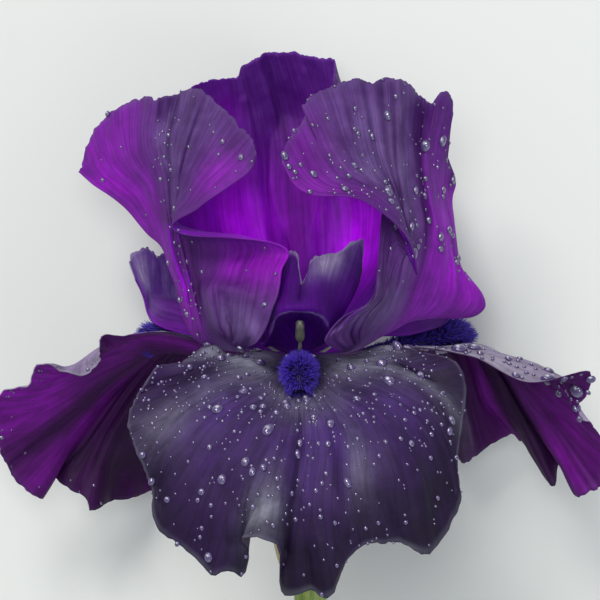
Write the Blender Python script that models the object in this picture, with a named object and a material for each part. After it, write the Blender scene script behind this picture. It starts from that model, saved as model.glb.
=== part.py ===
"""A bearded iris bloom on a cut stem, lying on its back on a surface, as a Blender model.

Units are metres and +Z is up. The bloom's standards point to +Y, its stem to -Y, and its front fall faces +Z.
Every shape is first written in millimetres from the bloom's heart, the middle of the perianth tube's mouth:
x to the right, y towards the standards, z towards the front fall. place_on_surface moves the whole bloom, so
that the origin is under the middle of its bounding box, on the surface.
"""

import math

import bmesh
import bpy
from mathutils import Matrix, Vector

MM = 0.001

# Driving sizes, in millimetres
PETAL_THICKNESS = 0.7
SPATHE_THICKNESS = 0.8
STYLE_THICKNESS = 0.8
AXIS_HEIGHT = 52.0  # heart above the surface that the bloom lies on

# Each blade is a list of cross rows from its claw to its margin: (share of the way to the margin, points).
# A point is (share of the way across, x, y, z).

FRONT_FALL = [
    (0.00, [(0, -2.6, 0.6, 6.9), (0.5, 0.0, 0.0, 7.4), (1, 2.6, 0.6, 6.9)]),
    (0.15, [(0, -7.6, 2.2, 9.6), (0.25, -4, -1.2, 14), (0.5, 0, -2.6, 16), (0.75, 4, -1.2, 14),
            (1, 7, 1.5, 9.6)]),
    (0.32, [(0, -11.4, 2.3, 14), (0.12, -11.2, 0, 20.5), (0.25, -8.8, -4.8, 28.5), (0.38, -5, -7.8, 34.5),
            (0.5, 0, -9.2, 37), (0.62, 5, -7.8, 34.5), (0.75, 8.8, -4.8, 28.5), (0.88, 11, -0.6, 21),
            (1, 11.4, 1.0, 14.5)]),
    (0.55, [(0, -17.5, 1.4, 18), (0.12, -22, -1.5, 26), (0.25, -21, -9, 37), (0.38, -11.5, -17, 47),
            (0.5, 0, -20, 51), (0.62, 11.5, -17, 48), (0.75, 22, -9.5, 40), (0.88, 24, -1.5, 29),
            (1, 19, 3.6, 18)]),
    (0.8, [(0, -21, 3.6, 19), (0.12, -32, -4.5, 30), (0.25, -32.5, -19, 42), (0.38, -20, -33, 50),
           (0.43, -13, -34, 54), (0.47, -6, -33, 57.5), (0.52, 0, -38, 54), (0.57, 6, -38, 55),
           (0.64, 17, -31, 54), (0.75, 32, -21, 46), (0.88, 33, -5.5, 36), (1, 23, 3.8, 20)]),
    (1.0, [(0, -23.5, 3.7, 20), (0.03, -27.5, 1, 21.5), (0.06, -31, -1, 24), (0.09, -35, -1.2, 28),
           (0.12, -39, -7, 33), (0.15, -41, -10.5, 35), (0.18, -42, -15.2, 38), (0.21, -41, -19.2, 38),
           (0.24, -38.5, -25, 40), (0.28, -36.2, -31.2, 42), (0.32, -34.6, -40.5, 43),
           (0.35, -29, -44.7, 44),
           (0.38, -23.5, -49.5, 45), (0.395, -21, -52, 46), (0.41, -17.3, -50.5, 49),
           (0.425, -13.5, -51.7, 46),
           (0.435, -12.4, -46, 48), (0.445, -14.5, -43, 55), (0.455, -12, -42, 58), (0.465, -9, -42.6, 59),
           (0.48, -5.2, -45, 56), (0.49, -4.9, -51, 50), (0.5, -4.6, -55.7, 48), (0.515, -1, -56.5, 51),
           (0.53, 3, -55.2, 50), (0.545, 5.6, -57, 52), (0.56, 8, -56.2, 53), (0.575, 9.7, -52.5, 52),
           (0.59, 11, -48.7, 51), (0.61, 14, -45.2, 52), (0.63, 17.4, -43.8, 53), (0.65, 21, -44, 51),
           (0.67, 24.5, -43.6, 49), (0.69, 28, -45.8, 50), (0.71, 31.2, -46.5, 50), (0.73, 35, -42.5, 47),
           (0.75, 37.2, -38, 46), (0.78, 39.2, -33.8, 44), (0.81, 38.4, -27, 42), (0.84, 38.6, -20.5, 40),
           (0.87, 40.2, -11.7, 37), (0.9, 40.4, -4.2, 34), (0.92, 38.3, -0.3, 31), (0.94, 34.5, 1.4, 28),
           (0.96, 28.7, 2.4, 24), (0.98, 24.4, 3.7, 21.5), (1, 22, 4.2, 20)]),
]

LEFT_FALL = [
    (0.00, [(0, -7.4, 0.6, -1.3), (0.5, -6.2, 0.0, -3.6), (1, -4.9, 0.6, -5.8)]),
    (0.15, [(0, -17.8, 3.4, -4.8), (0.5, -15.8, -0.8, -9.1), (1, -13.4, 2.6, -12.9)]),
    (0.35, [(0, -30, 6.4, -9.5), (0.25, -34.5, 4.6, -13), (0.5, -35.5, 2.0, -20), (0.75, -30.5, 2.8, -25.5),
            (1, -21, 4.4, -23)]),
    (0.55, [(0, -36, 7.1, -10), (0.25, -46, 4.4, -13), (0.5, -47, -3, -22), (0.75, -40, -5.5, -31),
            (1, -23.5, 2, -29)]),
    (0.8, [(0, -40, 6.6, -9.5), (0.1, -48, 2.5, -7), (0.2, -54, 0, -11), (0.35, -62.5, -5.5, -8),
           (0.5, -63, -14, -17), (0.62, -58, -20, -24), (0.7, -54, -23, -28), (0.78, -48.5, -24.5, -30),
           (0.88, -36, -23, -42), (1, -24.5, -1.5, -33)]),
    (1.0, [(0, -42, 6.2, -9), (0.04, -46, 6.0, -6.5), (0.07, -49.2, 6.3, -3.5), (0.09, -50.5, 5, -1.5),
           (0.11, -50, 2.5, -3), (0.14, -50.7, -0.5, -5.5), (0.17, -52.5, -3, -6), (0.2, -55.8, -3.7, -3.5),
           (0.23, -59.5, -2.7, -1), (0.26, -63.2, -1, 2), (0.28, -65.7, -1.5, 3), (0.3, -66.7, -3.5, 1),
           (0.32, -67.2, -5.7, -2), (0.35, -70.5, -6.7, -3), (0.38, -74, -7.7, -2.5),
           (0.42, -76.5, -11.2, -5),
           (0.46, -77.2, -16.2, -9), (0.5, -76, -21.7, -12), (0.53, -74.7, -25.2, -14.5),
           (0.56, -73.4, -27.4, -16),
           (0.585, -72.2, -30.5, -17), (0.61, -69.5, -32.7, -17.5), (0.63, -67, -34.7, -18.5),
           (0.645, -65.4, -35, -20.5), (0.66, -64.5, -32.5, -24), (0.675, -63.6, -29.4, -26.5),
           (0.7, -60, -32.2, -26), (0.725, -56.2, -34.2, -25), (0.745, -54, -35.7, -24),
           (0.755, -53.4, -37.7, -23.5),
           (0.77, -52.2, -38.4, -25), (0.785, -51, -37.2, -28), (0.81, -47.5, -36.2, -32),
           (0.84, -42.5, -35.5, -36),
           (0.87, -38, -34, -42), (0.9, -34.5, -35, -51), (0.93, -30.5, -33.5, -58), (0.96, -26, -27, -58),
           (0.98, -24, -17.5, -47), (1, -24.5, -6, -36)]),
]

RIGHT_FALL = [
    (0.00, [(0, 7.4, 0.6, -1.3), (0.5, 6.2, 0.0, -3.6), (1, 4.9, 0.6, -5.8)]),
    (0.15, [(0, 17.8, 2.6, -4.8), (0.5, 15.8, -0.8, -9.1), (1, 13.4, 2.2, -12.9)]),
    (0.35, [(0, 30, 2.8, -5.5), (0.25, 34, 3.0, -11), (0.5, 35, 1.8, -18.5), (0.75, 31, 3.4, -25.5),
            (1, 22, 4.4, -24)]),
    (0.55, [(0, 43, 0.9, -1), (0.1, 45.5, 2.2, -5), (0.25, 47, 2.8, -12), (0.5, 46, 2, -22.5),
            (0.75, 40, 1.5, -31), (1, 24.5, 2.5, -31)]),
    (0.8, [(0, 57, -5.8, 4), (0.08, 62, -3.2, -2), (0.2, 64, -6, -8), (0.35, 63.5, -14, -13),
           (0.5, 57, -13.5, -21), (0.6, 52.5, -12.5, -27), (0.7, 47, -11, -32), (0.82, 40.5, -13, -37),
           (0.92, 33, -11, -44), (1, 26, -1, -36)]),
    (1.0, [(0, 68.5, -3.2, 6), (0.03, 72, -2.9, 5), (0.06, 72.6, -5.5, 3), (0.1, 71.7, -8.5, 1),
           (0.14, 69.4, -12, -1), (0.17, 70.7, -14.2, 0), (0.2, 72.5, -16, 1), (0.24, 74.2, -18, 0),
           (0.29, 76.4, -22, -3), (0.34, 76.2, -28, -6), (0.39, 74.7, -32.5, -8.5), (0.42, 72.5, -33.2, -9),
           (0.445, 70.5, -34.5, -10), (0.465, 69, -34, -12.5), (0.485, 68, -30.5, -16),
           (0.505, 66.2, -25.5, -19.5),
           (0.52, 65.2, -27.5, -21), (0.54, 64.4, -32, -20.5), (0.56, 62.8, -31.3, -22),
           (0.59, 60.7, -27.5, -25),
           (0.62, 59, -23.4, -28), (0.65, 56.7, -20.8, -31), (0.68, 54.5, -19.4, -34),
           (0.71, 51.7, -20.2, -35),
           (0.75, 47.7, -22.7, -35.5), (0.79, 44.7, -25, -36.5), (0.82, 42, -26.6, -39),
           (0.84, 40.6, -25, -42),
           (0.87, 39.6, -21, -46), (0.91, 37, -21, -58), (0.95, 32.5, -18, -58), (0.98, 29, -11, -47),
           (1, 27, -4, -40)]),
]

LEFT_STANDARD = [
    (0.00, [(0, -5.8, 1.6, 0.7), (0.5, -4.6, 1.3, 2.7), (1, -3.4, 1.6, 4.7)]),
    (0.14, [(0, -16, 2.9, 4.6), (0.5, -14.5, 2.2, 8), (1, -12.6, 3.2, 10.6)]),
    (0.27, [(0, -27.5, 7.5, 8.5), (0.5, -24.5, 5.6, 13), (0.65, -21.8, 5.8, 15), (0.78, -19, 5.6, 20),
            (1, -13.6, 3.0, 24)]),
    (0.34, [(0, -29.7, 13, 8), (0.5, -26, 11.5, 13.5), (0.65, -23.5, 10.6, 15), (0.78, -21.4, 9.6, 22),
            (0.9, -15.4, 7.6, 27), (1, -9.8, 5.6, 33)]),
    (0.41, [(0, -31.2, 19, 7), (0.5, -27.5, 18, 13.5), (0.65, -25, 17, 14), (0.78, -22.4, 17.4, 20),
            (0.9, -14.5, 16.5, 28), (1, -6, 14.6, 35.5)]),
    (0.47, [(0, -32.8, 23.5, 6), (0.5, -28.8, 22.5, 13.4), (0.65, -26, 22.3, 12.8), (0.78, -20.5, 22, 15),
            (0.9, -13, 21.4, 23), (1, -4.6, 21.6, 32)]),
    (0.54, [(0, -34.8, 28.5, 4.6), (0.5, -30.4, 28.5, 13), (0.65, -27.4, 30, 12.5), (0.78, -20, 30, 15),
            (0.9, -12, 29.7, 21), (1, -5, 28.6, 28)]),
    (0.6, [(0, -38, 31.4, 2.5), (0.5, -31.6, 34, 12.5), (0.8, -29.6, 33.4, 17), (1, -28.4, 31.5, 22)]),
    (0.7, [(0, -43.5, 38, -1.5), (0.25, -37.5, 42, 5.5), (0.5, -32.3, 44, 11.5), (0.8, -28, 41.5, 18),
           (1, -25, 37.6, 25)]),
    (0.85, [(0, -52, 44, -8), (0.25, -44, 50.5, -0.5), (0.5, -33.2, 54.5, 9.5), (0.75, -24, 53, 17),
            (1, -13, 46.3, 25.5)]),
    (1.0, [(0, -55.8, 47.2, -11), (0.08, -53.8, 53.2, -11), (0.16, -51, 58.5, -9.5), (0.24, -47, 62.5, -7),
           (0.32, -41, 65.2, -2), (0.38, -37.5, 65.7, 2.5), (0.42, -35.6, 65.1, 6), (0.46, -33.7, 65.8, 4),
           (0.5, -31.2, 66.2, 2.5), (0.55, -28.5, 67.3, 3), (0.6, -26, 67.4, 6), (0.66, -23.2, 66.2, 10),
           (0.72, -20.7, 63.6, 14), (0.78, -17.7, 61.4, 17), (0.84, -15, 58, 20), (0.9, -12.2, 55.2, 22.5),
           (1, -10.7, 50.8, 24.5)]),
]

RIGHT_STANDARD = [
    (0.00, [(0, 3.4, 1.6, 4.7), (0.5, 4.6, 1.3, 2.7), (1, 5.8, 1.6, 0.7)]),
    (0.12, [(0, 10.6, 2.2, 12.6), (0.5, 12.5, 2.2, 7.5), (1, 14, 2.9, 4)]),
    (0.22, [(0, 9.6, 2.6, 26), (0.25, 14, 4.2, 18), (0.5, 17, 4.6, 11), (1, 22, 7.4, 3)]),
    (0.29, [(0, 6, 5.2, 33), (0.25, 14, 7.6, 24), (0.5, 19.5, 8, 12.3), (0.75, 25, 9, 4), (1, 31, 11, -4)]),
    (0.35, [(0, 9.5, 10, 33), (0.25, 16, 11, 25), (0.5, 21.6, 11, 13), (0.75, 28.5, 12, 3),
            (1, 40.5, 10.4, -5)]),
    (0.43, [(0, 17.4, 15, 28.5), (0.25, 20.5, 16, 21.5), (0.5, 23.8, 16, 13.3), (0.75, 31.5, 17, 3),
            (1, 46, 12.6, -6)]),
    (0.51, [(0, 19.1, 24, 19), (0.25, 22, 22, 16.5), (0.5, 25.4, 21, 13.6), (0.75, 33.2, 22.5, 3),
            (1, 45.6, 16.6, -7)]),
    (0.56, [(0, 21, 39, 10.5), (0.25, 24.3, 27.4, 14), (0.5, 26.3, 25, 13.6), (0.75, 34, 26.5, 3),
            (1, 43.4, 20, -7.5)]),
    (0.62, [(0, 28.6, 21.2, 20.5), (0.25, 27.6, 27.5, 17.6), (0.5, 27, 30, 13.6), (0.75, 34.3, 30.5, 3.5),
            (1, 40.6, 24, -8)]),
    (0.67, [(0, 26.8, 29.4, 22.4), (0.25, 26, 33, 18), (0.5, 26.6, 34, 13.6), (0.75, 34, 35, 4),
            (1, 39.4, 31, -8)]),
    (0.73, [(0, 18.2, 38, 24.5), (0.25, 22.5, 40, 18.8), (0.5, 25.7, 39.5, 13.4), (0.75, 33, 40, 4.5),
            (1, 38.3, 38, -8)]),
    (0.85, [(0, 1.8, 41.2, 24.5), (0.25, 13, 48, 19.4), (0.5, 24, 50, 12.8), (0.75, 32, 50, 5.5),
            (1, 39.2, 44.5, -7.5)]),
    (1.0, [(0, -4.6, 48.7, 23.5), (0.06, -3.4, 53.8, 23), (0.11, -1, 57.2, 22), (0.15, 1.4, 61, 21),
           (0.18, 0.6, 63, 22), (0.22, 3.3, 65.7, 20), (0.27, 7.6, 67.7, 17), (0.32, 11.4, 69.3, 14),
           (0.37, 14.5, 70, 11.5), (0.42, 17.8, 69, 10), (0.46, 21, 70.2, 8), (0.52, 24.4, 69.8, 9),
           (0.58, 27, 68.6, 7), (0.63, 29.2, 66.7, 3.5), (0.67, 31.5, 65, 3), (0.71, 32.8, 64, 6.5),
           (0.75, 34.6, 66.3, 8.5), (0.79, 36.4, 66.8, 7), (0.83, 37.8, 64.6, 5), (0.87, 38.1, 61, 3.5),
           (0.92, 37.2, 57, 1.5), (0.96, 35.6, 53.5, -1.5), (1, 37.2, 50, -5)]),
]

BACK_STANDARD = [
    (0.00, [(0, -2.5, 1.6, -5.2), (0.5, 0, 1.3, -5.8), (1, 2.5, 1.6, -5.2)]),
    (0.14, [(0, -12.5, 2.6, -16), (0.5, 0, 3.2, -17), (1, 12.5, 2.6, -16)]),
    (0.28, [(0, -17, 12, -22), (0.5, 0, 9, -32), (1, 17, 12, -22)]),
    (0.45, [(0, -28, 25, -20), (0.25, -13, 23, -40), (0.45, -1, 22, -47), (0.7, 13, 23, -40),
            (1, 27, 25, -22)]),
    (0.65, [(0, -36, 40, -16), (0.2, -20, 42, -43), (0.4, -6, 41, -53), (0.6, 7, 42, -53),
            (0.8, 20, 42, -43),
            (1, 32, 41, -24)]),
    (0.83, [(0, -32, 60, -19), (0.2, -20, 62, -40), (0.37, -9, 59, -50), (0.6, 5, 60, -53),
            (0.8, 14, 60, -38),
            (1, 26, 58, -24)]),
    (1.0, [(0, -29, 67, -19), (0.08, -27.5, 68.7, -22), (0.15, -23.7, 70.7, -28), (0.22, -19.5, 71.5, -33),
           (0.29, -15.7, 72.4, -38), (0.33, -15.1, 74.5, -36), (0.38, -12.5, 75.7, -33),
           (0.44, -9.7, 77.5, -31),
           (0.51, -6, 78.5, -32), (0.58, -1.7, 78.2, -34), (0.65, 2.2, 77.2, -33), (0.72, 6, 76.5, -30),
           (0.77, 7.9, 75.9, -26), (0.81, 8.8, 74.6, -23), (0.85, 8.5, 71.7, -21), (0.9, 9, 68, -22),
           (0.95, 13, 64, -24), (1, 19, 61, -24)]),
]

# Style arms are written as if facing the front, and turned about the bloom's axis.
FRONT_STYLE = [
    (0.00, [(0, -1.7, 1.6, 2.6), (0.5, 0, 2.1, 2.3), (1, 1.7, 1.6, 2.6)]),
    (0.2, [(0, -4, 3.2, 9), (0.5, 0, 6.2, 8.8), (1, 4, 3.2, 9)]),
    (0.4, [(0, -6.6, 3.8, 18), (0.25, -4.8, 8, 19), (0.5, 0, 10.4, 19.5), (0.75, 4.6, 8, 19),
            (1, 5.6, 4, 18)]),
    (0.56, [(0, -8.8, 3.4, 26), (0.25, -6.2, 9, 29), (0.5, 0, 12, 31), (0.75, 5.2, 9, 29),
            (1, 6.6, 4.6, 26)]),
    (0.66, [(0, -8.2, 5, 28), (0.25, -5.4, 11.4, 35.8), (0.5, 0, 12.6, 37.8), (0.75, 5.4, 11.4, 35.8),
            (1, 7.8, 6.6, 29)]),
    (0.82, [(0, -7.8, 14, 25.5), (0.25, -4.6, 17.5, 30), (0.5, 0, 15.5, 35.6), (0.75, 5.5, 18.5, 33),
            (1, 12.6, 15, 25.5)]),
    (1.0, [(0, -6.4, 22.5, 21), (0.12, -5.4, 25.6, 21), (0.25, -3, 27, 22.5), (0.38, -0.6, 26, 25),
           (0.5, 0.6, 18.5, 32), (0.6, 2.2, 23.6, 28), (0.7, 5, 26, 26), (0.78, 9, 26.5, 24),
           (0.85, 12.4, 29, 21),
           (0.93, 15.6, 29.5, 15.5), (1, 15.4, 22, 17)]),
]
SIDE_STYLE = [
    (0.00, [(0, -1.7, 1.6, 2.6), (0.5, 0, 2.1, 2.3), (1, 1.7, 1.6, 2.6)]),
    (0.2, [(0, -3.8, 4.4, 9), (0.5, 0, 6.6, 8.8), (1, 3.8, 4.4, 9)]),
    (0.4, [(0, -6.4, 5.8, 18), (0.25, -4.6, 9.4, 19), (0.5, 0, 11, 19.5), (0.75, 4.6, 9.4, 19),
            (1, 6.4, 5.8, 18)]),
    (0.56, [(0, -8.4, 6.4, 28), (0.25, -5.8, 12, 30.5), (0.5, 0, 14, 31.5), (0.75, 5.8, 12, 30.5),
            (1, 8.4, 6.4, 28)]),
    (0.68, [(0, -9, 9, 37), (0.25, -5.6, 14.2, 39.4), (0.5, 0, 15.2, 40), (0.75, 5.6, 14.2, 39.4),
            (1, 9, 9, 37)]),
    (0.82, [(0, -9.4, 15.5, 40), (0.25, -5.8, 19, 41.5), (0.5, 0, 19, 41.4), (0.75, 5.8, 19, 41.5),
            (1, 9.4, 15.5, 40)]),
    (1.0, [(0, -8, 19.5, 39), (0.12, -7.4, 23.5, 40.5), (0.25, -5, 26, 41.5), (0.38, -2.4, 26.8, 42),
           (0.5, 0, 25.4, 42), (0.62, 2.4, 27.4, 42), (0.75, 5.6, 28, 42.5), (0.88, 8.8, 25.5, 44.5),
           (1, 10, 20.5, 42)]),
]

# How far along each fall its beard begins and ends, and its greatest radius
BEARD_SPANS = {"front": (0.11, 0.315), "left": (0.11, 0.4), "right": (0.15, 0.47)}
BEARD_RADIUS = 4.4

# The stem and the tube above it: (share, x, y, z) down the middle line, then (share, radius)
TUBE_LINE = [(0.0, 0, -0.9, 0), (0.4, 0.4, -20, -1.2), (1.0, 2.0, -45, -5.6)]
TUBE_RADII = [(0.0, 7.7), (0.06, 7.4), (0.25, 4.6), (0.42, 3.9), (0.6, 5.2), (0.8, 5.6), (0.93, 4.6),
    (1.0, 3.9)]
STEM_LINE = [(0.0, 2.05, -45.9, -5.8), (0.3, 3.0, -74, -14.2), (0.6, 4.6, -107, -28.0),
    (1.0, 6.0, -150, -49.0)]
STEM_RADII = [(0.0, 3.9), (0.06, 3.5), (0.2, 4.1), (0.26, 3.5), (0.7, 3.5), (1.0, 3.7)]

# Spathe valves: (share of the length, half angle about the stem in degrees, distance from its middle line)
SPATHE_BASE = -56.0
SPATHE_ROWS = [(0.0, 78, 4.9), (0.15, 80, 7.4), (0.4, 76, 9.4), (0.75, 52, 10.2), (1.0, 14, 11.0)]

# The longest cell of each kind of blade, as a share of its width and of its length
LONGEST_CELL = {"fall": (0.045, 0.13), "standard": (0.047, 0.1), "style": (0.13, 0.13)}
SPATHE_CELLS = (8, 6)

# Long folds that fan out from each claw: (share of the way across, half width, height towards the front)
FOLDS = {
    "fall_front": [(0.07, 0.03, 1.2), (0.14, 0.03, -1.8), (0.2, 0.03, 1.3), (0.3, 0.04, -1.0),
                   (0.5, 0.02, -1.2),
                   (0.6, 0.03, -1.0), (0.69, 0.03, 1.6), (0.78, 0.03, -1.0), (0.83, 0.02, 1.2),
                   (0.875, 0.02, -2.2),
                   (0.93, 0.025, 1.6)],
    "fall_left": [(0.5, 0.05, 1.2), (0.66, 0.03, -2.5), (0.77, 0.03, 2.0), (0.87, 0.03, -1.5)],
    "fall_right": [(0.4, 0.04, 1.2), (0.5, 0.02, -2.0), (0.55, 0.025, 1.5), (0.61, 0.03, -1.5),
                   (0.72, 0.03, -1.5),
                   (0.81, 0.035, 2.5)],
    "standard_left": [(0.4, 0.05, 0.8), (0.5, 0.03, -1.6), (0.6, 0.04, 1.0)],
    "standard_right": [(0.44, 0.04, -1.0), (0.52, 0.025, 1.2), (0.66, 0.03, -1.8), (0.75, 0.04, 1.2)],
    "standard_back": [(0.35, 0.04, 1.2), (0.46, 0.03, -2.0), (0.58, 0.05, 1.2)],
}


def line_point(points, share):
    """The point at share along the smooth line through points, each (share, x, y, z)."""
    last = len(points) - 1
    k = 0
    while k < last - 1 and share > points[k + 1][0]:
        k += 1
    here, there = points[k], points[k + 1]
    span = there[0] - here[0]
    start, end = Vector(here[1:]), Vector(there[1:])
    slope = (end - start) / span
    slope_in = slope
    slope_out = slope
    if k > 0:
        before = points[k - 1]
        gap = here[0] - before[0]
        slope_in = ((start - Vector(before[1:])) / gap * span + slope * gap) / (span + gap)
    if k + 1 < last:
        after = points[k + 2]
        gap = after[0] - there[0]
        slope_out = ((Vector(after[1:]) - end) / gap * span + slope * gap) / (span + gap)
    t = (share - here[0]) / span
    return (
        start * (2 * t**3 - 3 * t**2 + 1)
        + slope_in * span * (t**3 - 2 * t**2 + t)
        + end * (3 * t**2 - 2 * t**3)
        + slope_out * span * (t**3 - t**2)
    )


def blade_point(rows, across, along):
    """The point of a blade at these shares of the way across and along it."""
    column = [(share, *line_point(points, across)) for share, points in rows]
    return line_point(column, along)


def grid_shares(listed, longest):
    """Where to build at: every listed share, and the middle of any longer gap between two."""
    shares = [listed[0]]
    for here, there in zip(listed, listed[1:]):
        if there - here > longest:
            shares.append((here + there) / 2)
        shares.append(there)
    return shares


def fold_height(folds, across, along):
    """How far the folds push this point to the front: nothing at the claw, all of it near the margin."""
    open_share = min(max((along - 0.25) / 0.45, 0.0), 1.0)
    grown = open_share * open_share * (3 - 2 * open_share)
    return grown * sum(height * math.exp(-(((across - at) / width) ** 2)) for at, width, height in folds)


def material(name, colour, roughness):
    """A plain finish, the same all over."""
    made = bpy.data.materials.get(name)
    if made is None:
        made = bpy.data.materials.new(name)
        made.use_nodes = True
        shader = made.node_tree.nodes["Principled BSDF"]
        shader.inputs["Base Color"].default_value = (*colour, 1)
        shader.inputs["Roughness"].default_value = roughness
    return made


def add_object(name, mesh, finish):
    """A mesh object in the scene, with one finish."""
    mesh.materials.append(finish)
    made = bpy.data.objects.new(name, mesh)
    bpy.context.scene.collection.objects.link(made)
    return made


def blade(name, rows, kind, finish, thickness, turn=0.0):
    """A thin waved blade through the rows, turned about the bloom's own axis."""
    widest, longest = LONGEST_CELL[kind]
    columns = grid_shares([point[0] for point in rows[-1][1]], widest)
    lengths = grid_shares([row[0] for row in rows], longest)
    cells_across, cells_along = len(columns) - 1, len(lengths) - 1
    built = bmesh.new()
    bmesh.ops.create_grid(built, x_segments=cells_across, y_segments=cells_along, size=0.5)
    for vertex in built.verts:
        across = columns[round((vertex.co.x + 0.5) * cells_across)]
        along = lengths[round((vertex.co.y + 0.5) * cells_along)]
        place = blade_point(rows, across, along)
        place.z += fold_height(FOLDS.get(name, ()), across, along)
        place.z = max(place.z, thickness / 2 - AXIS_HEIGHT)
        vertex.co = place * MM
    bmesh.ops.triangulate(built, faces=built.faces[:], quad_method="ALTERNATE")
    bmesh.ops.rotate(built, verts=built.verts[:], cent=(0, 0, 0), matrix=Matrix.Rotation(turn, 3, "Y"))
    mesh = bpy.data.meshes.new(name)
    built.to_mesh(mesh)
    built.free()
    mesh.shade_smooth()
    made = add_object(name, mesh, finish)
    wall = made.modifiers.new("thickness", "SOLIDIFY")
    wall.thickness = thickness * MM
    wall.offset = 0
    return made


def ring_solid(name, line, radii, finish, rings, sides, squash=None):
    """A closed round solid along a line, with a radius at each share of it."""
    built = bmesh.new()
    bmesh.ops.create_cone(
        built, cap_ends=True, cap_tris=True, segments=sides, radius1=1, radius2=1, depth=1
    )
    sides_only = [edge for edge in built.edges if abs(edge.verts[0].co.z - edge.verts[1].co.z) > 0.5]
    bmesh.ops.subdivide_edges(built, edges=sides_only, cuts=rings - 1, use_grid_fill=False)
    for vertex in built.verts:
        share = min(max(vertex.co.z + 0.5, 0.0), 1.0)
        middle = line_point(line, share)
        ahead = line_point(line, min(share + 0.01, 1.0)) - line_point(line, max(share - 0.01, 0.0))
        turn = Vector((0, 0, 1)).rotation_difference(ahead.normalized())
        radius = line_point([(at, r, 0, 0) for at, r in radii], share).x
        out = Vector((vertex.co.x, vertex.co.y, 0)) * radius
        if squash:
            out *= squash(share, math.atan2(vertex.co.y, vertex.co.x))
        vertex.co = (middle + turn @ out) * MM
    bmesh.ops.triangulate(built, faces=built.faces[:])
    mesh = bpy.data.meshes.new(name)
    bmesh.ops.recalc_face_normals(built, faces=built.faces[:])
    built.to_mesh(mesh)
    built.free()
    mesh.shade_smooth()
    return add_object(name, mesh, finish)


def beard(side, rows, finish):
    """A furry caterpillar on the fall's midrib, its hairs drawn as a few large spikes."""
    start, end = BEARD_SPANS[side]
    line = []
    for k in range(9):
        share = k / 8
        along = start + (end - start) * share
        point = blade_point(rows, 0.5, along)
        ahead = blade_point(rows, 0.5, along + 0.01) - point
        beside = blade_point(rows, 0.54, along) - point
        up = ahead.cross(beside).normalized()
        if up.y < 0:
            up = -up
        radius = beard_radius(share)
        line.append((share, *(point + up * (radius + PETAL_THICKNESS / 2 + 1.6))))
    radii = [(k / 8, beard_radius(k / 8)) for k in range(9)]
    made = ring_solid("beard_" + side, line, radii, finish, 9, 9)
    built = bmesh.new()
    built.from_mesh(made.data)
    bmesh.ops.join_triangles(
        built, faces=built.faces[:], angle_face_threshold=3.2, angle_shape_threshold=3.2
    )
    bmesh.ops.poke(built, faces=built.faces[:], offset=0.9 * MM)
    built.to_mesh(made.data)
    built.free()
    return made


def beard_radius(share):
    """The beard's radius: thin in the throat, widest near its front end, round at that end."""
    if share < 0.75:
        return 1.2 + (BEARD_RADIUS - 1.2) * share / 0.75
    return BEARD_RADIUS * math.sqrt(max(1 - ((share - 0.75) / 0.29) ** 2, 0.0))


def stamen(name, finish, turn):
    """A filament and the long anther at its end, under a style arm."""
    line = [(0.0, 0, 0.7, 4.9), (0.25, 0, 2.7, 7.6), (0.45, 0, 5.3, 12), (0.7, 0, 7.9, 19),
    (1.0, 0, 9.6, 25.5)]
    radii = [(0.0, 0.5), (0.3, 0.5), (0.42, 0.6), (0.48, 1.1), (0.9, 1.0), (1.0, 0.45)]
    made = ring_solid(name, line, radii, finish, 9, 6)
    made.data.transform(Matrix.Rotation(turn, 4, "Y"))
    return made


def spathe(name, finish, turn, long, lean):
    """A papery valve that wraps the ovary from the stem's top joint."""
    cells_across, cells_along = SPATHE_CELLS
    built = bmesh.new()
    bmesh.ops.create_grid(built, x_segments=cells_across, y_segments=cells_along, size=0.5)
    for vertex in built.verts:
        across, along = vertex.co.x + 0.5, vertex.co.y + 0.5
        half, away = line_point([(at, h, r, 0) for at, h, r in SPATHE_ROWS], along).xy
        angle = turn + math.radians(half) * (2 * across - 1)
        y = SPATHE_BASE + long * along
        middle = stem_middle(y)
        away += lean * along**2
        vertex.co = Vector((middle.x + away * math.sin(angle), y, middle.z + away * math.cos(angle))) * MM
    bmesh.ops.triangulate(built, faces=built.faces[:], quad_method="ALTERNATE")
    mesh = bpy.data.meshes.new(name)
    built.to_mesh(mesh)
    built.free()
    mesh.shade_smooth()
    made = add_object(name, mesh, finish)
    wall = made.modifiers.new("thickness", "SOLIDIFY")
    wall.thickness = SPATHE_THICKNESS * MM
    wall.offset = 0
    return made


def stem_middle(y):
    """The middle of the tube or the stem at this height."""
    line = TUBE_LINE if y > -45.2 else STEM_LINE
    low, high = 0.0, 1.0
    for _ in range(20):
        share = (low + high) / 2
        if line_point(line, share).y > y:
            low = share
        else:
            high = share
    return line_point(line, share)


def place_on_surface():
    """Apply every modifier, then move all of it so that the origin is under the middle of the bounding box."""
    bpy.context.view_layer.update()
    graph = bpy.context.evaluated_depsgraph_get()
    solids = {}
    for made in bpy.data.objects:
        solids[made] = bpy.data.meshes.new_from_object(made.evaluated_get(graph))
    for made, mesh in solids.items():
        made.modifiers.clear()
        made.data = mesh
        for vertex in mesh.vertices:
            vertex.co.z = max(vertex.co.z, -AXIS_HEIGHT * MM)
    points = [vertex.co for mesh in solids.values() for vertex in mesh.vertices]
    low = Vector([min(point[axis] for point in points) for axis in range(3)])
    high = Vector([max(point[axis] for point in points) for axis in range(3)])
    shift = Vector((-(low.x + high.x) / 2, -(low.y + high.y) / 2, -low.z))
    for mesh in solids.values():
        mesh.transform(Matrix.Translation(shift))
    print("heart at", [round(value / MM, 3) for value in shift])


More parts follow.
